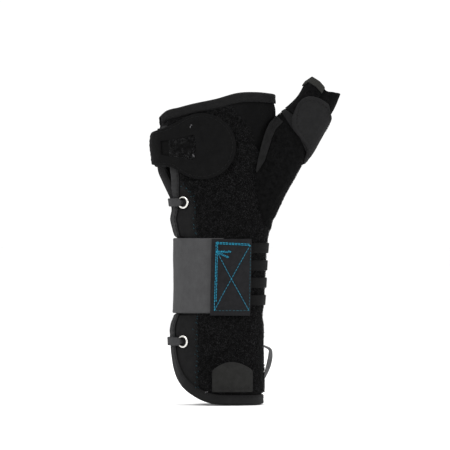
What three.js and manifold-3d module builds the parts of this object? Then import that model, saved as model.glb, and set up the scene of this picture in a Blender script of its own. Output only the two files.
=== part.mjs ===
// A laced wrist and thumb splint (thumb spica), kept in the shape it has when it is worn.
// Millimetres. The origin is the centre of the wrist inside the splint. +Z runs up the arm to the fingers, +X
// points to the thumb side (radial side), and -Y is the front, the side with the rounded straps.
// A padded wrap goes round forearm, wrist and hand and stays open along the little-finger side (ulnar side),
// where four elastic laces close it. A sleeve for the thumb is sewn over the wrap's thumb side.

import * as THREE from "three";
import { mergeVertices } from "three/addons/utils/BufferGeometryUtils.js";
import Module from "manifold-3d";

const wasm = await Module();
wasm.setup();

// Reach of the wrap from the wrist centre
const FOREARM_REACH = 87;
const HAND_REACH = 123;

// Outer width and depth of the wrap at its three main places
const FOREARM_WIDTH = 61;
const FOREARM_DEPTH = 53;
const WRIST_WIDTH = 58.5;
const WRIST_DEPTH = 47;
const HAND_WIDTH = 80;
const HAND_DEPTH = 41;

// Cloth thicknesses, and the gap that every piece keeps to the next
const WRAP_WALL = 3;
const PILE_THICKNESS = 1.2;
const TAPE_THICKNESS = 0.9;
const LACE_THICKNESS = 1;
const BAND_THICKNESS = 1.4;
const TAB_THICKNESS = 1.5;
const STRAP_THICKNESS = 1.3;
const SLEEVE_WALL = 2.6;
const GAP = 0.3;

// Edge binding: how far its legs reach in from the edge
const BINDING_WIDTH = 5.6;
const CORNER_RADIUS = 42;

// Pull band round the wrist with its stitched tab
const BAND_HEIGHT = 51;
const BAND_CENTRE = -0.4;
const BAND_FRONT_END = 3;
const TAB_WIDTH = 24.8;
const TAB_HEIGHT = 52;
const TAB_LEFT = -4.6;
const TAB_SLANT = 1.1;

// Laces
const LACE_COUNT = 4;
const LACE_WIDTH = 5;
const STRIP_WIDTH = 7;
const STRIP_PITCH = 11.8;
const STRIP_CENTRE = 0.6;
const EYELET_PITCH = 31.5;
const EYELET_CENTRE = 2.1;
const EYELET_INSETS = [10.2, 10.2, 10.6, 12.8];
const EYELET_DIAMETER = 7.6;
const EYELET_HOLE = 4.6;
const EYELET_PLATE = 0.8;
const EYELET_LIFT = 0.7;
const EYELET_WALL = 0.45;

// Hand strap: round tab with a window, on an elastic strap round the little-finger side
const HAND_TAB_RADIUS = 22.4;
const HAND_TAB_HEIGHT = 87.3;
const HAND_TAB_CENTRE = -11.2;
const HAND_STRAP_WIDTH = 24;
const HAND_STRAP_END = -150;
const HAND_BAR_HEIGHT = 85.5;
const HAND_BAR_WIDTH = 21;
const WINDOW_LENGTH = 23;
const WINDOW_NARROW = 9;
const WINDOW_WIDE = 16;

// Tab that closes the stay pocket at the forearm end
const POCKET_TAB_WIDTH = 25.4;
const POCKET_TAB_HEIGHT = 20.5;
const POCKET_TAB_CENTRE = 8.3;
const POCKET_TAB_ARCH = 6;

// Pull loop on the thumb side of the forearm
const LOOP_LIFT = 17;
const LOOP_LENGTH = 22;
const LOOP_DEPTH = 5;
const LOOP_RIBBON = 0.9;
const LOOP_WIDTH = 6;

// Thumb sleeve: a straight axis in the X-Z plane, leaning to the thumb side
const THUMB_ROOT_X = 23.8;
const THUMB_ROOT_Z = 37.4;
const THUMB_LEAN = 28.5;
const THUMB_LENGTH = 104.5;
const THUMB_WIDTH = 25.4;
const THUMB_DEPTH = 26;
const THUMB_BINDING_WIDTH = 6;
const SLEEVE_SEAM = 5;

// How square the sections are: 2 is an ellipse
const SQUARENESS = 2.25;

const RADIANS = Math.PI / 180;
const FAR = 400;

// Wrap sections from forearm to fingers: ulnar and radial are half widths, forward moves one to the front
const [FR, HR, FW, WW, HW] = [FOREARM_REACH, HAND_REACH, FOREARM_WIDTH, WRIST_WIDTH, HAND_WIDTH];
const [FD, WD, HD] = [FOREARM_DEPTH, WRIST_DEPTH, HAND_DEPTH];
const WRAP_SECTIONS = [
  { height: -FR * 1.15, ulnar: FW * 0.5, radial: FW * 0.475, depth: FD * 1.02, forward: 0 },
  { height: -FR * 0.9, ulnar: FW * 0.505, radial: FW * 0.47, depth: FD, forward: 0 },
  { height: -FR * 0.6, ulnar: FW * 0.52, radial: FW * 0.465, depth: FD * 0.97, forward: 0 },
  { height: -FR * 0.4, ulnar: FW * 0.515, radial: FW * 0.465, depth: FD * 0.94, forward: 0 },
  { height: -FR * 0.25, ulnar: WW * 0.49, radial: WW * 0.49, depth: WD * 1.02, forward: 0 },
  { height: 0, ulnar: WW * 0.475, radial: WW * 0.505, depth: WD, forward: 0 },
  { height: HR * 0.18, ulnar: WW * 0.49, radial: WW * 0.53, depth: WD * 0.98, forward: HD * 0.02 },
  { height: HR * 0.3, ulnar: WW * 0.53, radial: WW * 0.57, depth: WD * 0.96, forward: HD * 0.04 },
  { height: HR * 0.41, ulnar: HW * 0.4, radial: HW * 0.452, depth: HD * 1.07, forward: HD * 0.07 },
  { height: HR * 0.5, ulnar: HW * 0.46, radial: HW * 0.466, depth: HD * 1.05, forward: HD * 0.1 },
  { height: HR * 0.58, ulnar: HW * 0.51, radial: HW * 0.472, depth: HD * 1.03, forward: HD * 0.13 },
  { height: HR * 0.7, ulnar: HW * 0.52, radial: HW * 0.472, depth: HD, forward: HD * 0.17 },
  { height: HR * 0.85, ulnar: HW * 0.498, radial: HW * 0.47, depth: HD * 0.95, forward: HD * 0.22 },
  { height: HR * 1.15, ulnar: HW * 0.465, radial: HW * 0.46, depth: HD * 0.86, forward: HD * 0.28 },
];

// The wrap's two long edges, in degrees round the section from the front centre; the thumb side is at 90
const LONG_EDGES = [
  { height: -FR, front: -75, back: 260 },
  { height: -FR * 0.4, front: -76, back: 261 },
  { height: 0, front: -76, back: 262 },
  { height: HR * 0.3, front: -75, back: 263 },
  { height: HR * 0.39, front: -72, back: 264 },
  { height: HR * 0.46, front: -62, back: 265 },
  { height: HR * 0.54, front: -52, back: 266 },
  { height: HR * 0.63, front: -51, back: 265 },
  { height: HR * 0.73, front: -60, back: 264 },
  { height: HR * 0.84, front: -73, back: 262 },
  { height: HR * 1.05, front: -77, back: 262 },
];

// The hand end: height of the edge against the place across the hand, ulnar side -1 and radial side 1
const HAND_EDGE = [
  { across: -1, height: HR * 0.868 },
  { across: -0.9, height: HR * 0.9 },
  { across: -0.7, height: HR * 0.916 },
  { across: -0.45, height: HR * 0.936 },
  { across: -0.05, height: HR * 0.962 },
  { across: 0.35, height: HR * 0.995 },
  { across: 0.7, height: HR },
  { across: 1, height: HR * 0.993 },
];

// The pile panel on the front: its ulnar seam as a share of the width, and its thumb side in degrees
const PILE_PANEL = [
  { height: -FR, seam: -0.238, side: 104 },
  { height: HR * 0.3, seam: -0.24, side: 104 },
  { height: HR * 0.385, seam: -0.24, side: 104 },
  { height: HR * 0.44, seam: -0.27, side: 96 },
  { height: HR * 0.5, seam: -0.32, side: 76 },
  { height: HR * 0.57, seam: -0.4, side: 57 },
  { height: HR * 0.66, seam: -0.45, side: 44 },
  { height: HR * 0.72, seam: -0.48, side: 37 },
  { height: HR * 0.81, seam: -0.5, side: 30 },
  { height: HR * 0.88, seam: -0.5, side: 18 },
  { height: HR, seam: -0.5, side: 4 },
];

// Thumb sleeve sections along its axis: inward and outward are the half widths to and from the hand
const [TL, TW, TD] = [THUMB_LENGTH, THUMB_WIDTH, THUMB_DEPTH];
const THUMB_SECTIONS = [
  { along: -TL * 0.12, inward: TW * 0.35, outward: TW * 0.3, depth: TD * 1.1, forward: TD * 0.02 },
  { along: TL * 0.02, inward: TW * 0.42, outward: TW * 0.44, depth: TD * 1.35, forward: TD * 0.06 },
  { along: TL * 0.14, inward: TW * 0.55, outward: TW * 0.435, depth: TD * 1.55, forward: TD * 0.12 },
  { along: TL * 0.3, inward: TW * 0.76, outward: TW * 0.42, depth: TD * 1.62, forward: TD * 0.2 },
  { along: TL * 0.45, inward: TW * 0.9, outward: TW * 0.42, depth: TD * 1.52, forward: TD * 0.27 },
  { along: TL * 0.58, inward: TW * 0.9, outward: TW * 0.455, depth: TD * 1.36, forward: TD * 0.32 },
  { along: TL * 0.67, inward: TW * 0.79, outward: TW * 0.475, depth: TD * 1.22, forward: TD * 0.34 },
  { along: TL * 0.755, inward: TW * 0.62, outward: TW * 0.48, depth: TD * 1.1, forward: TD * 0.35 },
  { along: TL * 0.84, inward: TW * 0.51, outward: TW * 0.48, depth: TD, forward: TD * 0.36 },
  { along: TL * 0.92, inward: TW * 0.49, outward: TW * 0.475, depth: TD * 0.94, forward: TD * 0.36 },
  { along: TL * 1.06, inward: TW * 0.41, outward: TW * 0.39, depth: TD * 0.88, forward: TD * 0.36 },
];

// The sleeve's outline as seen from the front: its edge over the hand, then its end with the two flaps
const SLEEVE_EDGE = [
  { along: 0.664, across: -0.8 },
  { along: 0.6, across: -0.878 },
  { along: 0.54, across: -0.86 },
  { along: 0.466, across: -0.8 },
  { along: 0.38, across: -0.71 },
  { along: 0.332, across: -0.654 },
  { along: 0.279, across: -0.571 },
  { along: 0.187, across: -0.382 },
  { along: 0.106, across: -0.108 },
  { along: 0.036, across: 0.177 },
  { along: -0.005, across: 0.4 },
];
const SLEEVE_FLAPS = [
  { along: -0.03, across: 1 },
  { along: 0.5, across: 1.2 },
  { along: 0.98, across: 1 },
  { along: 0.995, across: 0.4 },
  { along: 0.962, across: 0.03 },
  { along: 0.978, across: -0.05 },
  { along: 0.994, across: -0.21 },
  { along: 1, across: -0.41 },
  { along: 0.95, across: -0.47 },
  { along: 0.9, across: -0.7 },
  { along: 0.76, across: -0.74 },
  { along: 0.7, across: -0.78 },
];

// The thumb strap's tab as seen from the front
const THUMB_TAB = [
  { along: 0.48, across: 0.7 },
  { along: 0.493, across: 0.4 },
  { along: 0.578, across: 0.252 },
  { along: 0.611, across: 0.03 },
  { along: 0.646, across: -0.27 },
  { along: 0.69, across: -0.37 },
  { along: 0.746, across: -0.386 },
  { along: 0.8, across: -0.394 },
  { along: 0.845, across: -0.35 },
  { along: 0.88, across: -0.24 },
  { along: 0.898, across: -0.02 },
  { along: 0.893, across: 0.24 },
  { along: 0.85, across: 0.42 },
  { along: 0.79, across: 0.7 },
];

// Number work

const mix = (from, to, share) => from + (to - from) * share;
const clamp = (value, low, high) => Math.min(high, Math.max(low, value));
const smooth = (low, high, value) => {
  const share = clamp((value - low) / (high - low), 0, 1);
  return share * share * (3 - 2 * share);
};
const steps = (count) => Array.from({ length: count + 1 }, (_, i) => i / count);

// A column of a table at a place, on a smooth curve through the rows
function lookUp(table, key, column, place) {
  const last = table.length - 1;
  let row = 0;
  while (row < last - 1 && place > table[row + 1][key]) row++;
  const [before, start, end, after] = [row - 1, row, row + 1, row + 2].map((i) => table[clamp(i, 0, last)]);
  const span = end[key] - start[key];
  const share = clamp((place - start[key]) / span, 0, 1);
  const slopeAt = (left, right) => ((right[column] - left[column]) / (right[key] - left[key])) * span;
  const rise = end[column] - start[column];
  const leaving = before === start ? rise : slopeAt(before, end);
  const arriving = after === end ? rise : slopeAt(start, after);
  const [s2, s3] = [share ** 2, share ** 3];
  return (
    start[column] * (2 * s3 - 3 * s2 + 1) + leaving * (s3 - 2 * s2 + share) +
    end[column] * (3 * s2 - 2 * s3) + arriving * (s3 - s2)
  );
}

// The value of one column where another has a value, on straight lines through the rows
function readTable(table, from, to, value) {
  let row = 0;
  while (row < table.length - 2 && value > table[row + 1][from]) row++;
  const [a, b] = [table[row], table[row + 1]];
  return mix(a[to], b[to], (value - a[from]) / (b[from] - a[from]));
}

// Solids

// Shared-vertex triangles as a solid with its faces pointing out
function solidOf(points, triangles) {
  const geometry = new THREE.BufferGeometry();
  const positions = points.flatMap((point) => point.toArray());
  geometry.setAttribute("position", new THREE.Float32BufferAttribute(positions, 3));
  geometry.setIndex(triangles.flat());
  return solidFromGeometry(geometry);
}

function solidFromGeometry(source) {
  const bare = new THREE.BufferGeometry();
  bare.setAttribute("position", source.getAttribute("position"));
  bare.setIndex(source.index);
  const merged = mergeVertices(bare, 1e-4);
  const triVerts = new Uint32Array(merged.index.array);
  const vertProperties = merged.attributes.position.array;
  const mesh = () => new wasm.Mesh({ numProp: 3, vertProperties, triVerts });
  const solid = new wasm.Manifold(mesh());
  if (solid.volume() > 0) return solid;
  triVerts.reverse();
  return new wasm.Manifold(mesh());
}

// A closed profile carried along rows of points of equal length, with flat caps cut for the profile's shape
function sweep(profile, sections) {
  const count = profile.length;
  const triangles = [];
  for (let j = 0; j + 1 < sections.length; j++)
    for (let i = 0; i < count; i++) {
      const next = (i + 1) % count;
      const [a, b, c, d] = [j * count + i, j * count + next, (j + 1) * count + next, (j + 1) * count + i];
      triangles.push([a, b, c], [a, c, d]);
    }
  const cap = THREE.ShapeUtils.triangulateShape(profile.map(([x, y]) => new THREE.Vector2(x, y)), []);
  const wound = THREE.ShapeUtils.area(profile.map(([x, y]) => new THREE.Vector2(x, y))) > 0;
  const far = (sections.length - 1) * count;
  for (const [a, b, c] of cap)
    if (wound) triangles.push([a, c, b], [far + a, far + b, far + c]);
    else triangles.push([a, b, c], [far + a, far + c, far + b]);
  return solidOf(sections.flat(), triangles);
}

// A curved plate: corner(column, row, side) gives its points, with side 0 the inner face and 1 the outer one
function plate(columns, rows, corner) {
  const points = [];
  const index = (i, j, side) => (i * (rows + 1) + j) * 2 + side;
  for (let i = 0; i <= columns; i++)
    for (let j = 0; j <= rows; j++)
      for (const side of [0, 1]) points.push(corner(i / columns, j / rows, side));
  const triangles = [];
  const quad = (a, b, c, d) => triangles.push([a, b, c], [a, c, d]);
  for (let i = 0; i < columns; i++)
    for (let j = 0; j < rows; j++) {
      quad(index(i, j, 1), index(i + 1, j, 1), index(i + 1, j + 1, 1), index(i, j + 1, 1));
      quad(index(i, j, 0), index(i, j + 1, 0), index(i + 1, j + 1, 0), index(i + 1, j, 0));
    }
  for (let i = 0; i < columns; i++) {
    quad(index(i, 0, 0), index(i + 1, 0, 0), index(i + 1, 0, 1), index(i, 0, 1));
    quad(index(i, rows, 1), index(i + 1, rows, 1), index(i + 1, rows, 0), index(i, rows, 0));
  }
  for (let j = 0; j < rows; j++) {
    quad(index(0, j, 1), index(0, j + 1, 1), index(0, j + 1, 0), index(0, j, 0));
    quad(index(columns, j, 0), index(columns, j + 1, 0), index(columns, j + 1, 1), index(columns, j, 1));
  }
  return solidOf(points, triangles);
}

// A round body from rings of points
function roundBody(sides, levels, point) {
  const turns = steps(sides).slice(0, -1).map((step) => step * 2 * Math.PI);
  const profile = turns.map((turn) => [Math.cos(turn), Math.sin(turn)]);
  const ring = (level) => profile.map((_, i) => point((i * 360) / sides - 180, level));
  return sweep(profile, steps(levels).map(ring));
}

// An outline in the X-Z plane, carried from the front of a depth range to its back
function prism(outline, front, back) {
  const shape = new THREE.Shape(outline.map(([x, z]) => new THREE.Vector2(x, z)));
  const geometry = new THREE.ExtrudeGeometry(shape, { depth: back - front, bevelEnabled: false });
  geometry.rotateX(Math.PI / 2);
  geometry.translate(0, back, 0);
  return solidFromGeometry(geometry);
}

function meshOf(name, solid, material) {
  const { numProp, vertProperties, triVerts, numVert } = solid.getMesh();
  const positions = new Float32Array(numVert * 3);
  for (let i = 0; i < numVert; i++)
    positions.set(vertProperties.subarray(i * numProp, i * numProp + 3), i * 3);
  const geometry = new THREE.BufferGeometry();
  geometry.setAttribute("position", new THREE.BufferAttribute(positions, 3));
  geometry.setIndex(new THREE.BufferAttribute(new Uint32Array(triVerts), 1));
  geometry.computeVertexNormals();
  const mesh = new THREE.Mesh(geometry, material);
  mesh.name = name;
  return mesh;
}

// The wrap's surface

// A point round a rounded section, in degrees from the front centre to the thumb side, moved out
function sectionPoint(angle, left, right, depth, outward) {
  const [sine, cosine] = [Math.sin(angle * RADIANS), Math.cos(angle * RADIANS)];
  const half = sine < 0 ? left : right;
  const power = 2 / SQUARENESS;
  const across = Math.sign(sine) * Math.abs(sine) ** power;
  const ahead = Math.sign(cosine) * Math.abs(cosine) ** power;
  const normal = new THREE.Vector2(
    (Math.sign(across) * Math.abs(across) ** (SQUARENESS - 1)) / half,
    (Math.sign(ahead) * Math.abs(ahead) ** (SQUARENESS - 1)) / (depth / 2),
  ).normalize();
  return { across: across * half + normal.x * outward, ahead: (ahead * depth) / 2 + normal.y * outward };
}

const wrapSize = (column, height) => lookUp(WRAP_SECTIONS, "height", column, height);
const edgeAngle = (edge, height) => lookUp(LONG_EDGES, "height", edge, height);

// The point of the wrap's outer face at an angle and height, moved outward
function wrapPoint(angle, height, outward) {
  const size = (column) => wrapSize(column, height);
  const section = sectionPoint(angle, size("ulnar"), size("radial"), size("depth"), outward);
  return new THREE.Vector3(section.across, -section.ahead - size("forward"), height);
}

// Lengths round the wrap at one height, measured from the front centre: a table of angle against length
const ARC_STEP = 4;
const ARC_START = -340;
const ARC_END = 300;
const arcs = new Map();
function arcTable(height) {
  const key = height.toFixed(3);
  if (arcs.has(key)) return arcs.get(key);
  const table = [];
  let length = 0;
  let before = wrapPoint(ARC_START, height, 0);
  for (let angle = ARC_START; angle <= ARC_END; angle += ARC_STEP) {
    const here = wrapPoint(angle, height, 0);
    length += here.distanceTo(before);
    table.push({ angle, length });
    before = here;
  }
  const zero = table[-ARC_START / ARC_STEP].length;
  table.forEach((row) => (row.length -= zero));
  arcs.set(key, table);
  return table;
}

const arcLength = (angle, height) => readTable(arcTable(height), "angle", "length", angle);
const angleAt = (length, height) => readTable(arcTable(height), "length", "angle", length);

// A point of the wrap by its length round from the front centre, its height and its distance out
const clothPoint = (length, height, outward) => wrapPoint(angleAt(length, height), height, outward);

// The length round to the place on the front that has a given X
function frontLength(x, height) {
  const across = clamp(Math.abs(x) / wrapSize(x < 0 ? "ulnar" : "radial", height), 0, 1);
  return arcLength((Math.sign(x) * Math.asin(across ** (SQUARENESS / 2))) / RADIANS, height);
}

function angleAtShare(share, height) {
  const [start, end] = ["front", "back"].map((edge) => arcLength(edgeAngle(edge, height), height));
  return angleAt(mix(start, end, share), height);
}

// Heights of the wrap's two ends, by the share of the way round from the front edge to the back edge
const FOREARM_GIRTH =
  arcLength(edgeAngle("back", -FOREARM_REACH), -FOREARM_REACH) -
  arcLength(edgeAngle("front", -FOREARM_REACH), -FOREARM_REACH);

function forearmEdge(share, inset = 0) {
  const radius = CORNER_RADIUS - inset;
  const inCorner = clamp(CORNER_RADIUS - FOREARM_GIRTH * Math.min(share, 1 - share), 0, radius);
  return -FOREARM_REACH + CORNER_RADIUS - Math.sqrt(radius ** 2 - inCorner ** 2);
}

function handEdge(share) {
  const sine = Math.sin(angleAtShare(share, HAND_REACH * 0.95) * RADIANS);
  return lookUp(HAND_EDGE, "across", "height", Math.sign(sine) * Math.abs(sine) ** (2 / SQUARENESS));
}

// Columns of the wrap as shares of the way round, closer together in the rounded corners
const CORNER_COLUMNS = 9;
const MIDDLE_COLUMNS = 14;
const WRAP_ROWS = 20;
const cornerShares = steps(CORNER_COLUMNS).map((step) => (CORNER_RADIUS * step ** 1.7) / FOREARM_GIRTH);
const middleShares = steps(MIDDLE_COLUMNS).slice(1, -1)
  .map((step) => mix(cornerShares.at(-1), 1 - cornerShares.at(-1), step));
const wrapShares = [...cornerShares, ...middleShares, ...cornerShares.map((share) => 1 - share).reverse()];

function wrapSolid() {
  const columns = wrapShares.length - 1;
  return plate(columns, WRAP_ROWS, (column, row, side) => {
    const share = wrapShares[Math.round(column * columns)];
    const height = mix(forearmEdge(share), handEdge(share), row);
    return wrapPoint(angleAtShare(share, height), height, side ? 0 : -WRAP_WALL);
  });
}

// Everything inside the wrap's outer face moved outward, over its whole length
const CORE_SIDES = 44;
const CORE_LEVELS = 22;
function wrapCore(outward) {
  return roundBody(CORE_SIDES, CORE_LEVELS, (angle, level) =>
    wrapPoint(angle, mix(-FOREARM_REACH * 1.1, HAND_REACH * 1.1, level), outward));
}

// Edge bindings: a folded tape carried along the wrap's edge

const TAPE_LOW = GAP + 0.25;
const TAPE_TOP = TAPE_LOW + TAPE_THICKNESS;
const TAPE_PROFILE = [
  [BINDING_WIDTH, TAPE_TOP],
  [BINDING_WIDTH / 2, TAPE_TOP],
  [-GAP, TAPE_TOP],
  [-GAP - TAPE_THICKNESS, TAPE_LOW],
  [-GAP - TAPE_THICKNESS, -WRAP_WALL - TAPE_LOW],
  [-GAP, -WRAP_WALL - TAPE_TOP],
  [BINDING_WIDTH, -WRAP_WALL - TAPE_TOP],
  [BINDING_WIDTH, -WRAP_WALL - TAPE_LOW],
  [-GAP, -WRAP_WALL - TAPE_LOW],
  [-GAP, TAPE_LOW],
  [BINDING_WIDTH / 2, TAPE_LOW],
  [BINDING_WIDTH, TAPE_LOW],
];

const edgePlace = (share, height) =>
  new THREE.Vector2(arcLength(angleAtShare(share, height), height), height);

// A binding along a path of length and height places, with the cloth on the left of the path
function binding(path) {
  const sections = path.map((place, i) => {
    const along = path[Math.min(i + 1, path.length - 1)].clone().sub(path[Math.max(i - 1, 0)]).normalize();
    const inward = new THREE.Vector2(-along.y, along.x);
    return TAPE_PROFILE.map(([reach, outward]) => {
      const spot = place.clone().addScaledVector(inward, reach);
      return clothPoint(spot.x, spot.y, outward);
    });
  });
  return sweep(TAPE_PROFILE, sections);
}

const handEndPath = wrapShares.map((share) => edgePlace(share, handEdge(share))).reverse();
const sideRows = steps(WRAP_ROWS).slice(1, -1);
const longEdgePath = [
  ...sideRows.map((row) => edgePlace(0, mix(forearmEdge(0), handEdge(0), row))).reverse(),
  ...wrapShares.map((share) => edgePlace(share, forearmEdge(share))),
  ...sideRows.map((row) => edgePlace(1, mix(forearmEdge(1), handEdge(1), row))),
];

// The pile panel over the front
const PILE_COLUMNS = 12;
const PILE_ROWS = 19;
const PILE_LOW = GAP + 0.05;
const PILE_TOP = PILE_LOW + PILE_THICKNESS;

function pilePanel() {
  const clear = BINDING_WIDTH + GAP * 3;
  const ulnarSide = (height) => {
    const width = wrapSize("ulnar", height) + wrapSize("radial", height);
    const seam = frontLength(width * lookUp(PILE_PANEL, "height", "seam", height), height);
    return Math.max(seam, arcLength(edgeAngle("front", height), height) + clear);
  };
  const thumbSideOf = (height) => arcLength(lookUp(PILE_PANEL, "height", "side", height), height);
  return plate(PILE_COLUMNS, PILE_ROWS, (column, row, side) => {
    const shareAt = (height) => {
      const [start, end] = ["front", "back"].map((edge) => arcLength(edgeAngle(edge, height), height));
      return (mix(ulnarSide(height), thumbSideOf(height), column) - start) / (end - start);
    };
    const low = forearmEdge(shareAt(-FOREARM_REACH * 0.98), clear);
    const high = handEdge(shareAt(HAND_REACH * 0.95)) - clear;
    const height = mix(low, high, row);
    const length = mix(ulnarSide(height), thumbSideOf(height), column);
    return clothPoint(length, height, side ? PILE_TOP : PILE_LOW);
  });
}

// Eyelets and laces

const OVER_BINDING = TAPE_TOP + GAP;
const OVER_PILE = PILE_TOP + GAP;
const eyeletHeight = (k) => EYELET_CENTRE + (1.5 - k) * EYELET_PITCH;
const stripHeight = (k) => STRIP_CENTRE + (1.5 - k) * STRIP_PITCH;
const frontEdge = (height) => arcLength(edgeAngle("front", height), height);
const eyeletLength = (k) => frontEdge(eyeletHeight(k)) + EYELET_INSETS[k];

// The lowest clear offset for a layer on the ulnar side and back: over the back edge's tape, then on the wrap
function behindEdge(angle, height) {
  const past = arcLength(edgeAngle("back", height) - 360, height) - arcLength(angle, height);
  return mix(OVER_BINDING, GAP + 0.05, smooth(BINDING_WIDTH * 1.1, BINDING_WIDTH * 2.1, past));
}

// A place and frame on the wrap at a length and height
function clothFrame(length, height) {
  const origin = clothPoint(length, height, 0);
  const out = clothPoint(length, height, 1).sub(origin).normalize();
  const up = clothPoint(length, height + 1, 0).sub(clothPoint(length, height - 1, 0)).normalize();
  const round = up.clone().cross(out).normalize();
  return new THREE.Matrix4().makeBasis(round, out.clone().cross(round), out).setPosition(origin);
}

const EYELET_SIDES = 10;
function turned(profile, frame) {
  const section = (turn) =>
    profile.map(([radius, out]) =>
      new THREE.Vector3(radius * Math.cos(turn), radius * Math.sin(turn), out).applyMatrix4(frame));
  const count = profile.length;
  const points = steps(EYELET_SIDES).slice(0, -1).flatMap((step) => section(step * 2 * Math.PI));
  const triangles = [];
  for (let j = 0; j < EYELET_SIDES; j++)
    for (let i = 0; i < count; i++) {
      const [a, b] = [j * count + i, j * count + ((i + 1) % count)];
      const [c, d] = [b, a].map((index) => (index + count) % (EYELET_SIDES * count));
      triangles.push([a, b, c], [a, c, d]);
    }
  return solidOf(points, triangles);
}

function eyelet(k) {
  const [hole, rim] = [EYELET_HOLE / 2, EYELET_DIAMETER / 2];
  const barrel = hole + EYELET_WALL;
  const top = EYELET_LIFT + EYELET_PLATE;
  const shoulder = mix(EYELET_LIFT, top, 0.5);
  const profile = [
    [hole, -WRAP_WALL - GAP], [barrel, -WRAP_WALL - GAP], [barrel, EYELET_LIFT], [rim, EYELET_LIFT],
    [rim, shoulder], [mix(barrel, rim, 0.6), top], [barrel, top], [hole, shoulder],
  ];
  return turned(profile, clothFrame(eyeletLength(k), eyeletHeight(k)));
}

function eyeletBore(k) {
  const frame = clothFrame(eyeletLength(k), eyeletHeight(k));
  const radius = EYELET_HOLE / 2 + EYELET_WALL + GAP;
  return roundBody(EYELET_SIDES, 1, (angle, level) => {
    const turn = angle * RADIANS;
    const depth = mix(-2 * WRAP_WALL, WRAP_WALL, level);
    return new THREE.Vector3(radius * Math.cos(turn), radius * Math.sin(turn), depth).applyMatrix4(frame);
  });
}

// A lace: through its eyelet, over the front edge and the open side, round the back and under the closure tab
const LACE_SEGMENTS = 25;
const LACE_BEND = [
  { reach: -EYELET_HOLE * 0.22, out: -WRAP_WALL - LACE_THICKNESS * 0.9 },
  { reach: -EYELET_HOLE * 0.22, out: LACE_THICKNESS * 0.3 },
  { reach: -EYELET_HOLE * 0.25, out: LACE_THICKNESS * 1.5 },
  { reach: -EYELET_HOLE * 0.39, out: LACE_THICKNESS * 2.25 },
  { reach: -EYELET_HOLE * 0.65, out: LACE_THICKNESS * 2.5 },
];

// The corners of a flat ribbon across and through it
const RIBBON_CORNERS = [[-1, -1], [1, -1], [1, 1], [-1, 1]];

function lace(k) {
  const height = eyeletHeight(k);
  const start = eyeletLength(k);
  const half = LACE_THICKNESS / 2;
  const bend = LACE_BEND.map(({ reach, out }) => ({ length: start + reach, height, out }));
  const from = angleAt(start - EYELET_HOLE * 1.09, height);
  const run = steps(LACE_SEGMENTS).map((step) => {
    const angle = mix(from, -322, step);
    const here = mix(height, stripHeight(k), smooth(-104, -222, angle));
    return {
      length: arcLength(angle, here), height: here,
      out: mix(behindEdge(angle, here), OVER_PILE + 0.2, smooth(-238, -254, angle)) + half + 0.25,
      width: mix(LACE_WIDTH, STRIP_WIDTH, smooth(-120, -230, angle)),
    };
  });
  const path = [...bend.map((row) => ({ ...row, width: EYELET_HOLE * 0.43 })), ...run];
  path[bend.length - 1].width = mix(EYELET_HOLE * 0.5, LACE_WIDTH, 0.4);
  const sections = path.map((row, i) => {
    const [before, after] = [path[Math.max(i - 1, 0)], path[Math.min(i + 1, path.length - 1)]];
    const travel = new THREE.Vector2(after.length - before.length, after.out - before.out).normalize();
    return RIBBON_CORNERS.map(([across, thick]) =>
      clothPoint(row.length + travel.y * half * thick, row.height + (across * row.width) / 2,
        row.out - travel.x * half * thick));
  });
  return sweep(RIBBON_CORNERS, sections);
}

// The pull band and its closure tab

const BAND_BACK_END = -168;
const BAND_COLUMNS = 24;
const OVER_LACE = LACE_THICKNESS + GAP + 0.25;
const bandLow = (angle, height) =>
  mix(behindEdge(angle, height) + OVER_LACE, OVER_PILE, smooth(-56, -34, angle));

function pullBand() {
  const low = BAND_CENTRE - BAND_HEIGHT / 2;
  const front = (height) => angleAt(frontLength(BAND_FRONT_END, height), height);
  return plate(BAND_COLUMNS, 3, (column, row, side) => {
    const height = low + BAND_HEIGHT * row;
    const angle = mix(BAND_BACK_END, front(height), column);
    return wrapPoint(angle, height, bandLow(angle, height) + side * BAND_THICKNESS);
  });
}

const TAB_LOW = OVER_PILE + BAND_THICKNESS + GAP;
function closureTab() {
  return plate(8, 4, (column, row, side) => {
    const height = BAND_CENTRE - 1 + TAB_HEIGHT * (row - 0.5) - column * (1 - row) * 0.2;
    const x = TAB_LEFT + TAB_WIDTH * column + (row - 1) * TAB_SLANT;
    return clothPoint(frontLength(x, height), height, TAB_LOW + side * TAB_THICKNESS);
  });
}

// A layer that follows the wrap, cut to an outline seen from the front
const wrapLayer = (low, thickness, outline, back) =>
  wrapCore(low + thickness).subtract(wrapCore(low)).intersect(prism(outline, -FAR, back));

function arc(centre, radius, from, to, count) {
  return steps(count).map((step) => {
    const turn = mix(from, to, step) * RADIANS;
    return [centre[0] + radius * Math.cos(turn), centre[1] + radius * Math.sin(turn)];
  });
}

// Pocket tab at the forearm end
function pocketTab() {
  const half = POCKET_TAB_WIDTH / 2;
  const bottom = -FOREARM_REACH + BINDING_WIDTH + GAP * 7;
  const shoulder = bottom + POCKET_TAB_HEIGHT - POCKET_TAB_ARCH;
  const arch = steps(8).map((step) => [
    POCKET_TAB_CENTRE + half * (1 - 2 * step), shoulder + POCKET_TAB_ARCH * Math.sin(step * Math.PI) ** 0.8,
  ]);
  const outline = [[POCKET_TAB_CENTRE - half, bottom], [POCKET_TAB_CENTRE + half, bottom], ...arch];
  return wrapLayer(OVER_PILE, TAB_THICKNESS, outline, 0);
}

// Hand strap, its round tab with the window, and the hook patch under the round end

const handTabCentre = [HAND_TAB_CENTRE, HAND_TAB_HEIGHT];
const ROUND_SIDES = 16;
const HAND_TAB_LOW = OVER_PILE + STRAP_THICKNESS + GAP;

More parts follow.
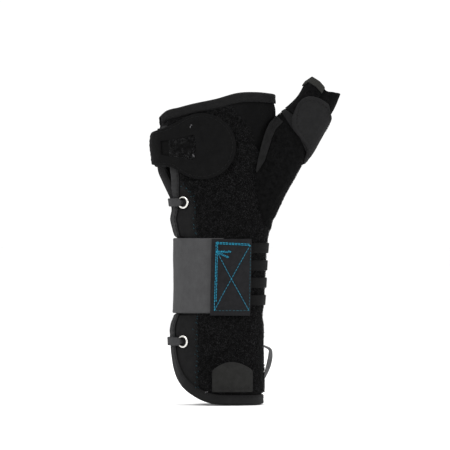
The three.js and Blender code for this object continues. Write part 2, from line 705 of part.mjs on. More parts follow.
function handTab() {
  const [x, z] = handTabCentre;
  const neck = [
    [x - HAND_TAB_RADIUS * 1.3, HAND_BAR_HEIGHT + 3 + HAND_BAR_WIDTH * 0.6],
    [-FAR, HAND_BAR_HEIGHT + HAND_BAR_WIDTH / 2],
    [-FAR, HAND_BAR_HEIGHT - HAND_BAR_WIDTH / 2],
    [x - HAND_TAB_RADIUS * 1.2, HAND_BAR_HEIGHT - HAND_BAR_WIDTH / 2 - 1],
  ];
  const outline = [...arc([x, z], HAND_TAB_RADIUS, -128, 110, ROUND_SIDES), ...neck];
  const left = x - WINDOW_LENGTH * 1.25;
  const window = [
    [left, z - WINDOW_NARROW * 0.62], [left + WINDOW_LENGTH * 0.95, z - WINDOW_WIDE * 0.56],
    [left + WINDOW_LENGTH, z - WINDOW_WIDE * 0.4], [left + WINDOW_LENGTH * 1.03, z + WINDOW_WIDE * 0.3],
    [left + WINDOW_LENGTH, z + WINDOW_WIDE * 0.45], [left + WINDOW_LENGTH * 0.4, z + WINDOW_NARROW * 0.42],
    [left, z + WINDOW_NARROW * 0.4],
  ];
  return wrapLayer(HAND_TAB_LOW, TAB_THICKNESS, outline, 2).subtract(prism(window, -FAR, 2));
}

function handPatch() {
  const [x, z] = handTabCentre;
  return wrapLayer(OVER_PILE, STRAP_THICKNESS, arc([x, z], HAND_TAB_RADIUS - 2, -72, 72, ROUND_SIDES / 2), 2);
}

function handStrap() {
  return plate(22, 3, (column, row, side) => {
    const height = HAND_BAR_HEIGHT + HAND_STRAP_WIDTH * (row - 0.5);
    const front = angleAt(frontLength(HAND_TAB_CENTRE - HAND_TAB_RADIUS * 0.82, height), height);
    const angle = mix(HAND_STRAP_END, front, column);
    const low = Math.max(behindEdge(angle, height), mix(GAP, OVER_PILE, smooth(-98, -80, angle)));
    return wrapPoint(angle, height, low + side * STRAP_THICKNESS);
  });
}

// Pull loop: a thin ribbon standing off the thumb side
function pullLoop() {
  const half = LOOP_RIBBON / 2;
  const top = -FOREARM_REACH + LOOP_LIFT + LOOP_LENGTH;
  const spine = [
    [0, half], [0.03, half + 0.1], [0.08, LOOP_DEPTH * 0.75], [0.16, LOOP_DEPTH], [0.36, LOOP_DEPTH * 0.94],
    [0.6, LOOP_DEPTH * 0.7], [0.82, LOOP_DEPTH * 0.34], [0.95, half + 0.1], [1, half],
  ].map(([share, out]) => [top - LOOP_LENGTH * share, PILE_TOP + GAP + out]);
  const sections = spine.map(([height, out], i) => {
    const [before, after] = [spine[Math.max(i - 1, 0)], spine[Math.min(i + 1, spine.length - 1)]];
    const travel = new THREE.Vector2(after[0] - before[0], after[1] - before[1]).normalize();
    return RIBBON_CORNERS.map(([across, thick]) => {
      const length = arcLength(84, height) + (across * LOOP_WIDTH) / 2;
      return clothPoint(length, height + travel.y * half * thick, out - travel.x * half * thick);
    });
  });
  return sweep(RIBBON_CORNERS, sections);
}

// Thumb sleeve

const thumbAxis = new THREE.Vector3(Math.sin(THUMB_LEAN * RADIANS), 0, Math.cos(THUMB_LEAN * RADIANS));
const thumbSide = new THREE.Vector3(thumbAxis.z, 0, -thumbAxis.x);
const thumbRoot = new THREE.Vector3(THUMB_ROOT_X, 0, THUMB_ROOT_Z);

function thumbPoint(angle, along, outward) {
  const size = (column) => lookUp(THUMB_SECTIONS, "along", column, along);
  const section = sectionPoint(angle, size("inward"), size("outward"), size("depth"), outward);
  return thumbRoot.clone()
    .addScaledVector(thumbAxis, along)
    .addScaledVector(thumbSide, section.across)
    .add(new THREE.Vector3(0, -section.ahead - size("forward"), 0));
}

// A table of places beside the thumb's axis as X and Z places
const thumbPlaces = (table) => table.map(({ along, across }) => {
  const place = thumbRoot.clone()
    .addScaledVector(thumbAxis, along * THUMB_LENGTH)
    .addScaledVector(thumbSide, across * THUMB_WIDTH);
  return [place.x, place.z];
});

const THUMB_SIDES = 20;
const THUMB_LEVELS = 12;
function thumbCore(outward) {
  return roundBody(THUMB_SIDES, THUMB_LEVELS, (angle, level) =>
    thumbPoint(angle, mix(-THUMB_LENGTH * 0.12, THUMB_LENGTH * 1.06, level), outward));
}

const thumbLayer = (low, thickness, outline, back) =>
  thumbCore(low + thickness).subtract(thumbCore(low)).intersect(prism(outline, -FAR, back));

// Everything inside the sleeve's outer face moved outward: the thumb's tube, and what lies on the wrap
const sleeveCore = (outward) => thumbCore(outward).add(wrapCore(GAP + SLEEVE_WALL + outward));

const passage = thumbCore(-SLEEVE_WALL);
const sleeveOutline = thumbPlaces([...SLEEVE_EDGE, ...SLEEVE_FLAPS]);

const thumbSleeve = () =>
  sleeveCore(0).intersect(prism(sleeveOutline, -FAR, FAR)).subtract(wrapCore(GAP)).subtract(passage);

// Tape along the sleeve's edge over the hand, on the front
function sleeveBinding() {
  const edge = SLEEVE_EDGE.slice(0, 7);
  const width = THUMB_BINDING_WIDTH / THUMB_WIDTH;
  const taper = [1, 1, 1, 1, 0.9, 0.6, 0.15];
  const inner = edge.map(({ along, across }, i) => ({
    along: along - 0.012 * taper[i], across: across + width * taper[i],
  }));
  const outline = thumbPlaces([...edge, ...inner.reverse()]);
  return sleeveCore(GAP + TAPE_THICKNESS).subtract(sleeveCore(GAP)).intersect(prism(outline, -FAR, 0));
}

// The overlapping flap of the sleeve's end, and the tape on its end
const flapSeam = [
  { along: 0.985, across: -0.12 }, { along: 0.966, across: -0.01 }, { along: 0.93, across: -0.01 },
  { along: 0.86, across: -0.04 },
];
function cuffFlap() {
  const outline = thumbPlaces([
    ...flapSeam, { along: 0.86, across: -0.9 }, { along: 0.94, across: -0.9 }, { along: 0.94, across: -0.43 },
    { along: 0.99, across: -0.405 },
  ]);
  return thumbLayer(GAP, PILE_THICKNESS, outline, 0);
}

function cuffBinding() {
  const reach = 0.042;
  const end = [
    { along: 0.966, across: -0.02 }, { along: 0.983, across: -0.13 }, { along: 0.992, across: -0.26 },
    { along: 0.996, across: -0.41 },
  ];
  const inner = end.map((row) => ({ ...row, along: row.along - reach }));
  const outline = thumbPlaces([...end, ...inner.reverse()]);
  return thumbLayer(GAP * 2 + PILE_THICKNESS, TAPE_THICKNESS, outline, 0);
}

const SLEEVE_CLEAR = GAP * 2 + SLEEVE_WALL;

// Strap round the sleeve, narrow at the web and wide on the outer side, with its tab over the front
function thumbStrap() {
  const outline = thumbPlaces([
    { along: 0.71, across: -1 }, { along: 0.68, across: -0.7 }, { along: 0.607, across: 0 },
    { along: 0.48, across: 0.7 }, { along: 0.755, across: 0.7 }, { along: 0.74, across: 0 },
    { along: 0.725, across: -0.7 }, { along: 0.735, across: -1 },
  ]);
  const ring = thumbLayer(GAP, STRAP_THICKNESS, outline, FAR);
  return ring.subtract(sleeveCore(GAP)).subtract(wrapCore(SLEEVE_CLEAR));
}

const thumbTab = () =>
  thumbLayer(GAP * 2 + STRAP_THICKNESS, STRAP_THICKNESS, thumbPlaces(THUMB_TAB), THUMB_DEPTH * 0.05);

const material = (color, roughness, metalness = 0) =>
  new THREE.MeshStandardMaterial({ color, roughness, metalness });
const smoothCloth = material(0x1c1c1d, 0.85);
const pileCloth = material(0x141414, 1);
const tapeCloth = material(0x2c2c2e, 0.8);
const strapCloth = material(0x202022, 0.85);
const bandCloth = material(0x4a4a4c, 0.8);
const laceCloth = material(0x55575a, 0.75);
const tabCloth = material(0x2b2b2d, 0.8);
const nickel = material(0xb9b7b0, 0.3, 1);

// The largest body of a cut, without the crumbs at its rim
const largest = (solid) => solid.decompose().sort((a, b) => b.volume() - a.volume())[0];

const group = new THREE.Group();
const add = (name, solid, look) => group.add(meshOf(name, largest(solid), look));

// The wrap's hole for the thumb ends under the sleeve, a seam's width inside the sleeve's edge
const holeOutline = thumbPlaces([
  ...SLEEVE_EDGE.map((row) => ({ ...row, across: row.across + SLEEVE_SEAM / THUMB_WIDTH })), ...SLEEVE_FLAPS,
]);
let wrap = wrapSolid().subtract(passage.intersect(prism(holeOutline, -FAR, FAR)));
for (let k = 0; k < LACE_COUNT; k++) wrap = wrap.subtract(eyeletBore(k));
add("wrap", wrap, smoothCloth);
const underSleeve = sleeveCore(GAP).intersect(prism(sleeveOutline, -FAR, FAR));
add("pile_panel", pilePanel().subtract(underSleeve), pileCloth);
add("hand_end_binding", binding(handEndPath), tapeCloth);
add("long_edge_binding", binding(longEdgePath), tapeCloth);
add("thumb_sleeve", thumbSleeve(), tabCloth);
add("thumb_panel_binding", sleeveBinding(), tapeCloth);
add("thumb_cuff_flap", cuffFlap(), tabCloth);
add("thumb_cuff_binding", cuffBinding(), tapeCloth);
add("thumb_strap", thumbStrap(), strapCloth);
add("thumb_strap_tab", thumbTab(), strapCloth);
add("hand_strap", handStrap(), strapCloth);
add("hand_tab_hook", handPatch(), strapCloth);
add("hand_tab", handTab(), strapCloth);
for (let k = 0; k < LACE_COUNT; k++) {
  add(`eyelet_${k + 1}`, eyelet(k), nickel);
  add(`lace_${k + 1}`, lace(k), laceCloth);
}
add("pull_band", pullBand(), bandCloth);
add("closure_tab", closureTab(), tabCloth);
add("pocket_tab", pocketTab(), tabCloth);
add("pull_loop", pullLoop(), laceCloth);

export default group;
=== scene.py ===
from math import cos, exp, pi, radians, sin

import bpy
import numpy as np
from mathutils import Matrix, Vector


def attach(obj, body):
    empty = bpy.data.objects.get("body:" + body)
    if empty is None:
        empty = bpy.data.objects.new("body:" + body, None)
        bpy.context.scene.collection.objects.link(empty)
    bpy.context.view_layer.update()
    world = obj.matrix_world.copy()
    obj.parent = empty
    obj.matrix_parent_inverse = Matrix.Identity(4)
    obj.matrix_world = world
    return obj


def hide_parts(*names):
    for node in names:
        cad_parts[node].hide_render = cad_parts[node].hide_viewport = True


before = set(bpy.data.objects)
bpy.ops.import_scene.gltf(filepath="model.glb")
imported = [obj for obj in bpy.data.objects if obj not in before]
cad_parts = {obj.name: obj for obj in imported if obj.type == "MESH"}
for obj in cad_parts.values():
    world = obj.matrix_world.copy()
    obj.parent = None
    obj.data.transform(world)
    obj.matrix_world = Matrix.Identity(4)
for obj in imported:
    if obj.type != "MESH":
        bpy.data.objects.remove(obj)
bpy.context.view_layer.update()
# Each row of stitches draws from this, so the rows keep their order
rng = np.random.default_rng(11)

# Sizes in millimetres, as in the part's source. R, W and D are the reach, width and depth of forearm,
# wrist and hand
FR, HR, FW, WW, HW = 87.0, 123.0, 61.0, 58.5, 80.0
FD, WD, HD = 53.0, 47.0, 41.0
WALL, PILE, TAPE, LACE, BAND, TAB, STRAP, SLEEVE, GAP = 3.0, 1.2, 0.9, 1.0, 1.4, 1.5, 1.3, 2.6, 0.3
BINDING_WIDTH, CORNER = 5.6, 42.0
BAND_MIDDLE, BAND_HEIGHT = -0.4, 51.0
POCKET_X, POCKET_HALF, POCKET_HEIGHT, POCKET_ARCH = 8.3, 12.7, 20.5, 6
POCKET_BOTTOM = -FR + BINDING_WIDTH + GAP * 7
# The round hand tab's middle and radius, and the bar that leads to its strap
CX, CZ, RADIUS = -11.2, 87.3, 22.4
BAR, BAR_HALF, STRAP_HALF = 85.5, 10.5, 12
EYELETS_MIDDLE, EYELETS_PITCH, EYELET_INSETS = 2.1, 31.5, (10.2, 10.2, 10.6, 13.4)
LOOP_ANGLE, LOOP_TOP, LOOP_LENGTH, LOOP_WIDTH = 84.0, -48, 22, 4.6
ROOT_X, ROOT_Z, LEAN, TL, TW, TD = 23.8, 37.4, radians(28.5), 104.5, 25.4, 26.0
PIXEL = 0.68

# How far off the wrap each layer lies
TAPE_LOW = GAP + 0.25
TAPE_TOP = TAPE_LOW + TAPE
PILE_LOW = GAP + 0.05
PILE_TOP = PILE_LOW + PILE
OVER_BINDING = TAPE_TOP + GAP
OVER_PILE = PILE_TOP + GAP
OVER_LACE = LACE + GAP + 0.25
TAB_LOW = OVER_PILE + BAND + GAP
TAB_TOP = TAB_LOW + TAB
STRAP_TOP = OVER_PILE + STRAP
HAND_TAB_LOW = STRAP_TOP + GAP
HAND_TAB_TOP = HAND_TAB_LOW + TAB
THUMB_STRAP_LOW = GAP + 0.15
# What the pile panel leaves free along the tapes
CLEAR = BINDING_WIDTH + GAP * 3
# Exponent of the superellipses that all sections are
SQUARE = 2.25


def sized(reach, width, depth, forward, rows):
    """Sections from shares of four sizes. Columns: place, one side, other side, depth, forward."""
    return [(reach * z, width * a, width * b, depth * d, forward * f) for z, a, b, d, f in rows]


# Columns: height, ulnar, radial, depth, forward
SECTIONS = np.array(
    sized(FR, FW, FD, HD, [(-1.15, 0.5, 0.475, 1.02, 0), (-0.9, 0.505, 0.47, 1, 0),
                           (-0.6, 0.52, 0.465, 0.97, 0), (-0.4, 0.515, 0.465, 0.94, 0)])
    + sized(FR, WW, WD, HD, [(-0.25, 0.49, 0.49, 1.02, 0)])
    + sized(HR, WW, WD, HD, [(0, 0.475, 0.505, 1, 0), (0.18, 0.49, 0.53, 0.98, 0.02),
                             (0.3, 0.53, 0.57, 0.96, 0.04)])
    + sized(HR, HW, HD, HD, [(0.41, 0.4, 0.452, 1.07, 0.07), (0.5, 0.46, 0.466, 1.05, 0.1),
                             (0.58, 0.51, 0.472, 1.03, 0.13), (0.7, 0.52, 0.472, 1, 0.17),
                             (0.85, 0.498, 0.47, 0.95, 0.22), (1.15, 0.465, 0.46, 0.86, 0.28)]))
# Columns: height, front edge, back edge, in degrees
EDGES = np.array([
    (-FR, -75, 260), (-FR * 0.4, -76, 261), (0, -76, 262), (HR * 0.3, -75, 263), (HR * 0.39, -72, 264),
    (HR * 0.46, -62, 265), (HR * 0.54, -52, 266), (HR * 0.63, -51, 265), (HR * 0.73, -60, 264),
    (HR * 0.84, -73, 262), (HR * 1.05, -77, 262)])
# Columns: share of the half width from the middle, height
HAND_EDGE = np.array([(-1, 0.868), (-0.9, 0.9), (-0.7, 0.916), (-0.45, 0.936), (-0.05, 0.962), (0.35, 0.995),
                      (0.7, 1), (1, 0.993)]) * [1, HR]
# Columns: height, seam as a share of the width, thumb side in degrees
PANEL = np.array([
    (-FR, -0.238, 104), (HR * 0.3, -0.24, 104), (HR * 0.385, -0.24, 104), (HR * 0.44, -0.27, 96),
    (HR * 0.5, -0.32, 76), (HR * 0.57, -0.4, 57), (HR * 0.66, -0.45, 44), (HR * 0.72, -0.48, 37),
    (HR * 0.81, -0.5, 30), (HR * 0.88, -0.5, 18), (HR, -0.5, 4)])
# Columns: along, inward, outward, depth, forward
THUMB = np.array(sized(TL, TW, TD, TD, [
    (-0.12, 0.35, 0.3, 1.1, 0.02), (0.02, 0.42, 0.44, 1.35, 0.06), (0.14, 0.55, 0.435, 1.55, 0.12),
    (0.3, 0.76, 0.42, 1.62, 0.2), (0.45, 0.9, 0.42, 1.52, 0.27), (0.58, 0.9, 0.455, 1.36, 0.32),
    (0.67, 0.79, 0.475, 1.22, 0.34), (0.755, 0.62, 0.48, 1.1, 0.35), (0.84, 0.51, 0.48, 1, 0.36),
    (0.92, 0.49, 0.475, 0.94, 0.36), (1.06, 0.41, 0.39, 0.88, 0.36)]))
# Columns: along, across, as shares of the thumb's length and width
SLEEVE_EDGE = np.array([
    (-0.005, 0.4), (0.036, 0.177), (0.106, -0.108), (0.187, -0.382), (0.279, -0.571), (0.332, -0.654),
    (0.38, -0.71), (0.466, -0.8), (0.54, -0.86), (0.6, -0.878), (0.664, -0.8)])
THUMB_TAB = np.array([
    (0.493, 0.4), (0.578, 0.252), (0.611, 0.03), (0.646, -0.27), (0.69, -0.37), (0.746, -0.386),
    (0.8, -0.394), (0.845, -0.35), (0.88, -0.24), (0.898, -0.02), (0.893, 0.24), (0.85, 0.36)])


def curve(xs, ys, x):
    """A smooth curve through points, straight at both ends."""
    n = len(xs)
    i = np.clip(np.searchsorted(xs, x, side="left") - 1, 0, n - 2)
    before, after = np.maximum(i - 1, 0), np.minimum(i + 2, n - 1)
    span = xs[i + 1] - xs[i]
    s = np.clip((x - xs[i]) / span, 0, 1)
    rise = ys[i + 1] - ys[i]
    leaving = np.where(i == 0, rise, (ys[i + 1] - ys[before]) / (xs[i + 1] - xs[before]) * span)
    arriving = np.where(i == n - 2, rise, (ys[after] - ys[i]) / (xs[after] - xs[i]) * span)
    return (ys[i] * (2 * s**3 - 3 * s**2 + 1) + leaving * (s**3 - 2 * s**2 + s)
            + ys[i + 1] * (3 * s**2 - 2 * s**3) + arriving * (s**3 - s**2))


def smooth(low, high, value):
    s = np.clip((value - low) / (high - low), 0, 1)
    return s * s * (3 - 2 * s)


def mix(a, b, s):
    return a + (b - a) * s


def pair(a, b):
    return np.stack(np.broadcast_arrays(a, b), -1)


def unit(vectors):
    return vectors / np.linalg.norm(vectors, axis=-1, keepdims=True)


def power(value, exponent):
    """A power that keeps the sign."""
    return np.sign(value) * np.abs(value) ** exponent


def grid(nu, nv):
    return np.meshgrid(np.linspace(0, 1, nu), np.linspace(0, 1, nv), indexing="ij")


def noise(u, v, size, seed):
    """Smooth noise from -1 to 1 with features about size millimetres wide."""
    lattice = np.random.default_rng(seed).uniform(-1, 1, (64, 64))
    x, y = u / size + 500, v / size + 500
    i, j = np.floor(x).astype(int), np.floor(y).astype(int)
    s, t = smooth(0, 1, x - i), smooth(0, 1, y - j)
    i, j, k, m = i % 64, j % 64, (i + 1) % 64, (j + 1) % 64
    return mix(mix(lattice[i, j], lattice[k, j], s), mix(lattice[i, m], lattice[k, m], s), t)


def grain(*layers):
    """A texture of layers of noise, each a height, a size and a seed."""
    return lambda u, v: sum(high * noise(u, v, size, seed) for high, size, seed in layers)


tufts = grain((0.2, 1.5, 8), (0.2, 3.1, 9), (0.14, 7.0, 10))


# Places on the wrap, given by the length round it from the front, the height and the distance out

def section(angle, left, right, depth, out):
    sine, cosine = np.sin(np.radians(angle)), np.cos(np.radians(angle))
    half = np.where(sine < 0, left, right)
    across, ahead = power(sine, 2 / SQUARE), power(cosine, 2 / SQUARE)
    nx, ny = power(across, SQUARE - 1) / half, power(ahead, SQUARE - 1) / (depth / 2)
    size = np.hypot(nx, ny)
    return across * half + nx / size * out, ahead * depth / 2 + ny / size * out


def reader(table):
    """Reads a column of a table at a value of its first column."""
    return lambda column, x: curve(table[:, 0], table[:, column], x)


wrap_size, edge_angle, panel_side, thumb_size = [reader(table) for table in (SECTIONS, EDGES, PANEL, THUMB)]


def side_size(size, x, at):
    """A section's half width on the side where x lies."""
    return np.where(x < 0, size(1, at), size(2, at))


def front_angle(size, x, at):
    """The angle at a distance to the side of a section's middle."""
    share = np.clip(np.abs(x) / side_size(size, x, at), 0, 1)
    return np.sign(x) * np.degrees(np.arcsin(share ** (SQUARE / 2)))


def wrap_point(angle, height, out):
    angle, height, out = np.broadcast_arrays(angle, height, out)
    across, ahead = section(angle, *[wrap_size(k, height) for k in (1, 2, 3)], out)
    return np.stack([across, -ahead - wrap_size(4, height), height], -1)


# Lengths round the wrap, at each millimetre of height and each second degree
ARC_STEP = 2.0
ARC_ANGLES = np.arange(-340, 301, ARC_STEP)
ARC_HEIGHTS = np.arange(-102, 144, 1.0)
ARC = wrap_point(ARC_ANGLES[None, :], ARC_HEIGHTS[:, None], 0)
ARC = np.pad(np.cumsum(np.linalg.norm(np.diff(ARC, axis=1), axis=2), 1), ((0, 0), (1, 0)))
ARC -= ARC[:, ARC_ANGLES == 0]
# Rows of the table that are worked on at once
CHUNK = 20000


def arc_rows(height):
    place = np.clip(np.ravel(height) - ARC_HEIGHTS[0], 0, len(ARC_HEIGHTS) - 1.001)
    i = place.astype(int)
    return i, place - i


def arc_length(angle, height):
    angle, height = np.broadcast_arrays(angle, height)
    i, s = arc_rows(height)
    column = np.clip((angle.ravel() - ARC_ANGLES[0]) / ARC_STEP, 0, len(ARC_ANGLES) - 1.001)
    j = column.astype(int)
    low = mix(ARC[i, j], ARC[i, j + 1], column - j)
    high = mix(ARC[i + 1, j], ARC[i + 1, j + 1], column - j)
    return mix(low, high, s).reshape(angle.shape)


def angle_at(length, height):
    length, height = np.broadcast_arrays(length, height)
    flat, heights, result = length.ravel(), height.ravel(), np.empty(length.size)
    for start in range(0, flat.size, CHUNK):
        part = slice(start, start + CHUNK)
        i, s = arc_rows(heights[part])
        rows = ARC[i] * (1 - s[:, None]) + ARC[i + 1] * s[:, None]
        j = np.clip((rows < flat[part, None]).sum(1) - 1, 0, len(ARC_ANGLES) - 2)
        k = np.arange(len(j))
        result[part] = ARC_ANGLES[j] + ARC_STEP * (flat[part] - rows[k, j]) / (rows[k, j + 1] - rows[k, j])
    return result.reshape(length.shape)


def front_length(x, height):
    return arc_length(front_angle(wrap_size, x, height), height)


def on_front(points):
    """Length and height of places seen from the front."""
    points = np.asarray(points, float)
    return pair(front_length(points[:, 0], points[:, 1]), points[:, 1])


def relief(base):
    """How far the soft wrap, with all that lies on it, stands off its plain shape."""
    x, y, height = np.moveaxis(base, -1, 0)
    waves = 0.5 * noise(x + 0.5 * y, height, 31, 1) + 0.24 * noise(x - 0.7 * y, height * 1.4, 14, 2)
    # Swollen beside the band, drawn in under it, and pinched at its little-finger side
    reach = np.abs(height - BAND_MIDDLE)
    swollen = 0.7 * np.exp(-((reach - 37) / 6) ** 2) - 0.3 * smooth(33, 28, reach)
    pinched = smooth(27, 25, reach) * smooth(-18, -28, x) * (0.7 + 1.5 * (reach / 25) ** 2)
    creases = 0.28 * np.sin(height * 0.6 + 0.09 * x) * np.exp(-((height - 41) / 11) ** 2)
    # Fuller under the hand strap and at the heel of the index finger
    padding = 1.3 * np.exp(-((height - 92) / 11) ** 2) * smooth(-30, -38, x)
    heel = 1.4 * smooth(20, 34, x) * smooth(100, 108, height) * smooth(119, 112, height)
    return waves + swollen + creases - pinched + padding + heel


def on_wrap(length, height, out):
    length, height, out = np.broadcast_arrays(length, height, out)
    angle = angle_at(length, height)
    return wrap_point(angle, height, out + relief(wrap_point(angle, height, 0)))


def edge_length(column, height):
    return arc_length(edge_angle(column, height), height)


def share_angle(share, height):
    """The angle at a share of the way from front edge to back edge."""
    return angle_at(mix(edge_length(1, height), edge_length(2, height), share), height)


GIRTH = float(edge_length(2, -FR) - edge_length(1, -FR))


def forearm_edge(share, inset=0.0):
    radius = CORNER - inset
    reach = np.clip(CORNER - GIRTH * np.minimum(share, 1 - share), 0, radius)
    return -FR + CORNER - np.sqrt(radius**2 - reach**2)


def hand_edge(share):
    sine = np.sin(np.radians(share_angle(share, HR * 0.95)))
    return curve(*HAND_EDGE.T, power(sine, 2 / SQUARE))


def behind_edge(angle, height):
    """The level of a piece that goes on from the back edge's tape to the bare wrap."""
    past = arc_length(edge_angle(2, height) - 360, height) - arc_length(angle, height)
    return mix(OVER_BINDING, GAP + 0.05, smooth(BINDING_WIDTH + 0.6, BINDING_WIDTH + 6, past))


# Places on the thumb, given by the turn round it, the length along it and the distance out

AXIS = np.array([sin(LEAN), 0, cos(LEAN)])
SIDE = np.array([AXIS[2], 0, -AXIS[0]])
BACK = np.array([0, 1, 0])
ROOT = np.array([ROOT_X, 0, ROOT_Z])
# A turn is in millimetres, this many for each degree from the front
DEGREE = 0.24


def thumb_relief(base):
    x, y, z = np.moveaxis(base, -1, 0)
    return 0.38 * noise(x - 0.5 * z + 0.6 * y, z + 0.5 * x, 13, 5)


def thumb_section(turn, along, out):
    return section(turn / DEGREE, *[thumb_size(k, along) for k in (1, 2, 3)], out)


def on_thumb(turn, along, out):
    turn, along, out = np.broadcast_arrays(turn, along, out)

    def place(distance):
        across, ahead = thumb_section(turn, along, distance)
        back = (-ahead - thumb_size(4, along))[..., None] * BACK
        return ROOT + along[..., None] * AXIS + across[..., None] * SIDE + back
    return place(out + thumb_relief(place(0)))


def thumb_turn(along, across):
    return front_angle(thumb_size, across, along) * DEGREE


def thumb_place(points):
    """How far points lie along the thumb, across it and ahead of its middle."""
    along, across = (points - ROOT) @ AXIS, (points - ROOT) @ SIDE
    return along, across, -points[..., 1] - thumb_size(4, along)


def inside_thumb(points):
    """True where the thumb passes through the wrap."""
    along, across, ahead = thumb_place(points)
    edge = np.interp(along / TL, *SLEEVE_EDGE.T) * TW + 5.5
    half, depth = side_size(thumb_size, across, along) - SLEEVE, thumb_size(3, along) / 2 - SLEEVE
    within = np.abs(across / half) ** SQUARE + np.abs(ahead / depth) ** SQUARE < 1
    return within & (along > -TL * 0.1) & (across > edge)


def under_sleeve(points):
    """True where the sleeve covers the wrap."""
    along, across, _ = thumb_place(points)
    along, across = along / TL, across / TW
    limit = np.interp(along, *SLEEVE_EDGE.T)
    return (along > 0) & (along < 0.664) & (across > limit + 0.06)


# Mesh making

def add_object(name, data):
    obj = bpy.data.objects.new(name, data)
    bpy.context.scene.collection.objects.link(obj)
    return obj


def make(name, points, faces, uv=None):
    """A smooth mesh from points in millimetres and an array of faces for each count of corners."""
    mesh = bpy.data.meshes.new(name)
    points = np.asarray(points, float) * 0.001
    faces = [np.asarray(f, int) for f in faces if len(f)]
    mesh.vertices.add(len(points))
    mesh.vertices.foreach_set("co", points.ravel())
    loops = np.concatenate([f.ravel() for f in faces])
    counts = np.concatenate([np.full(len(f), f.shape[1]) for f in faces])
    mesh.loops.add(len(loops))
    mesh.loops.foreach_set("vertex_index", loops)
    mesh.polygons.add(len(counts))
    mesh.polygons.foreach_set("loop_start", np.concatenate([[0], np.cumsum(counts)[:-1]]))
    mesh.polygons.foreach_set("loop_total", counts)
    mesh.polygons.foreach_set("use_smooth", np.ones(len(counts), bool))
    mesh.update(calc_edges=True)
    if uv is not None:
        layer = mesh.uv_layers.new(name="cloth")
        layer.data.foreach_set("uv", (np.asarray(uv, float) * 0.001)[loops].ravel())
    mesh.validate()
    return add_object(name, mesh)


def corners(values):
    """The values at the four corners of each cell of a grid."""
    return np.stack([values[:-1, :-1], values[1:, :-1], values[1:, 1:], values[:-1, 1:]], -1)


def laid(name, surface, U, V, low, rise, around=False, keep=None, cap=False):
    """A closed plate on a surface from low to low + rise, over a grid of places.

    around joins the last row to the first, keep picks cells, and cap fills the first column's ring.
    """
    nu, nv = U.shape
    below = nu * nv
    index = np.arange(below).reshape(nu, nv)
    if around:
        index = np.vstack([index, index[:1]])
    upper = corners(index)
    cells = np.ones(upper.shape[:2], bool) if keep is None else keep
    faces = [upper[cells], upper[cells][:, ::-1] + below]

    def wall(p, q, picked):
        faces.append(np.stack([p[picked], q[picked], q[picked] + below, p[picked] + below], -1))

    before, after = np.pad(cells, ((1, 0), (0, 0))), np.pad(cells, ((0, 1), (0, 0)))
    p, q = index[:, :-1], index[:, 1:]
    if around:
        before[0], after[-1] = cells[-1], cells[0]
        before, after, p, q = before[:-1], after[:-1], p[:-1], q[:-1]
    wall(p, q, after & ~before)
    wall(q, p, before & ~after)
    before, after = np.pad(cells, ((0, 0), (1, 0))), np.pad(cells, ((0, 0), (0, 1)))
    p, q = index[:-1], index[1:]
    if not cap:
        wall(q, p, after & ~before)
    wall(p, q, before & ~after)
    if cap:
        ring = index[None, :-1, 0]
        faces += [ring[:, ::-1], ring + below]
    points = np.stack([surface(U, V, low + rise), surface(U, V, low)])
    return make(name, points.reshape(-1, 3), faces, np.stack([pair(U, V)] * 2).reshape(-1, 2))


def soft_rise(thick, rim, radius=0.8, least=0.35):
    """A thickness that is rounded off near the rim."""
    return thick * mix(least, 1, np.sqrt(1 - (1 - np.clip(rim / radius, 0, 1)) ** 2))


def textured(name, surface, U, V, low, thick, rim, radius, texture, **joins):
    rise = soft_rise(thick, rim, radius, 0.3) + texture(U, V) * smooth(0, 1.5, rim)
    return laid(name, surface, U, V, low, rise, **joins)


def rim_distance(shape, du, dv):
    """The distance from the rim of a grid with steps du and dv."""
    i, j = np.indices(shape)
    return np.minimum(np.minimum(i, shape[0] - 1 - i) * du, np.minimum(j, shape[1] - 1 - j) * dv)


def soft_plate(name, surface, U, V, low, thick, radius=0.9, texture=grain()):
    """A plate over a grid of places."""
    du, dv = [np.hypot(np.gradient(U, axis=k), np.gradient(V, axis=k)).mean() for k in (0, 1)]
    return textured(name, surface, U, V, low, thick, rim_distance(U.shape, du, dv), radius, texture)


def patch(name, surface, outer, low, thick, inner=None, rings=24, radius=0.9, texture=grain()):
    """A plate inside an outline, with or without a window."""
    hole = inner is not None
    if not hole:
        middle = outer.mean(0)
        inner = middle + (outer - middle) * 0.03
    share = np.linspace(0, 1, rings)
    places = mix(inner[:, None], outer[:, None], share[:, None])
    U, V = places[..., 0], places[..., 1]
    reach = np.linalg.norm(outer - inner, axis=1)[:, None]
    rim = (1 - share) * reach
    if hole:
        rim = np.minimum(rim, share * reach)
    lows = low(U, V) if callable(low) else low
    return textured(name, surface, U, V, lows, thick, rim, radius, texture, around=True, cap=not hole)


def swept(name, rings, uv=None, ends=True):
    """Tubes through rings of points, with or without flat ends."""
    n, k, m = rings.shape[:3]
    index = np.arange(n * k * m).reshape(n, k, m)
    a, d = index[:, :-1], index[:, 1:]
    faces = [np.stack([a, np.roll(a, -1, 2), np.roll(d, -1, 2), d], -1).reshape(-1, 4)]
    if ends:
        faces.append(np.concatenate([index[:, 0, ::-1], index[:, -1]]))
    return make(name, rings.reshape(-1, 3), faces, None if uv is None else uv.reshape(-1, 2))


def steps_along(path):
    return np.concatenate([[0], np.cumsum(np.linalg.norm(np.diff(path, axis=0), axis=1))])


def path_at(path, steps, t):
    return np.stack([np.interp(t, steps, path[:, k]) for k in range(2)], -1)


def resample(path, count, closed=True):
    path = np.asarray(path, float)
    if closed:
        path = np.vstack([path, path[:1]])
    steps = steps_along(path)
    return path_at(path, steps, np.linspace(0, steps[-1], count, endpoint=not closed))


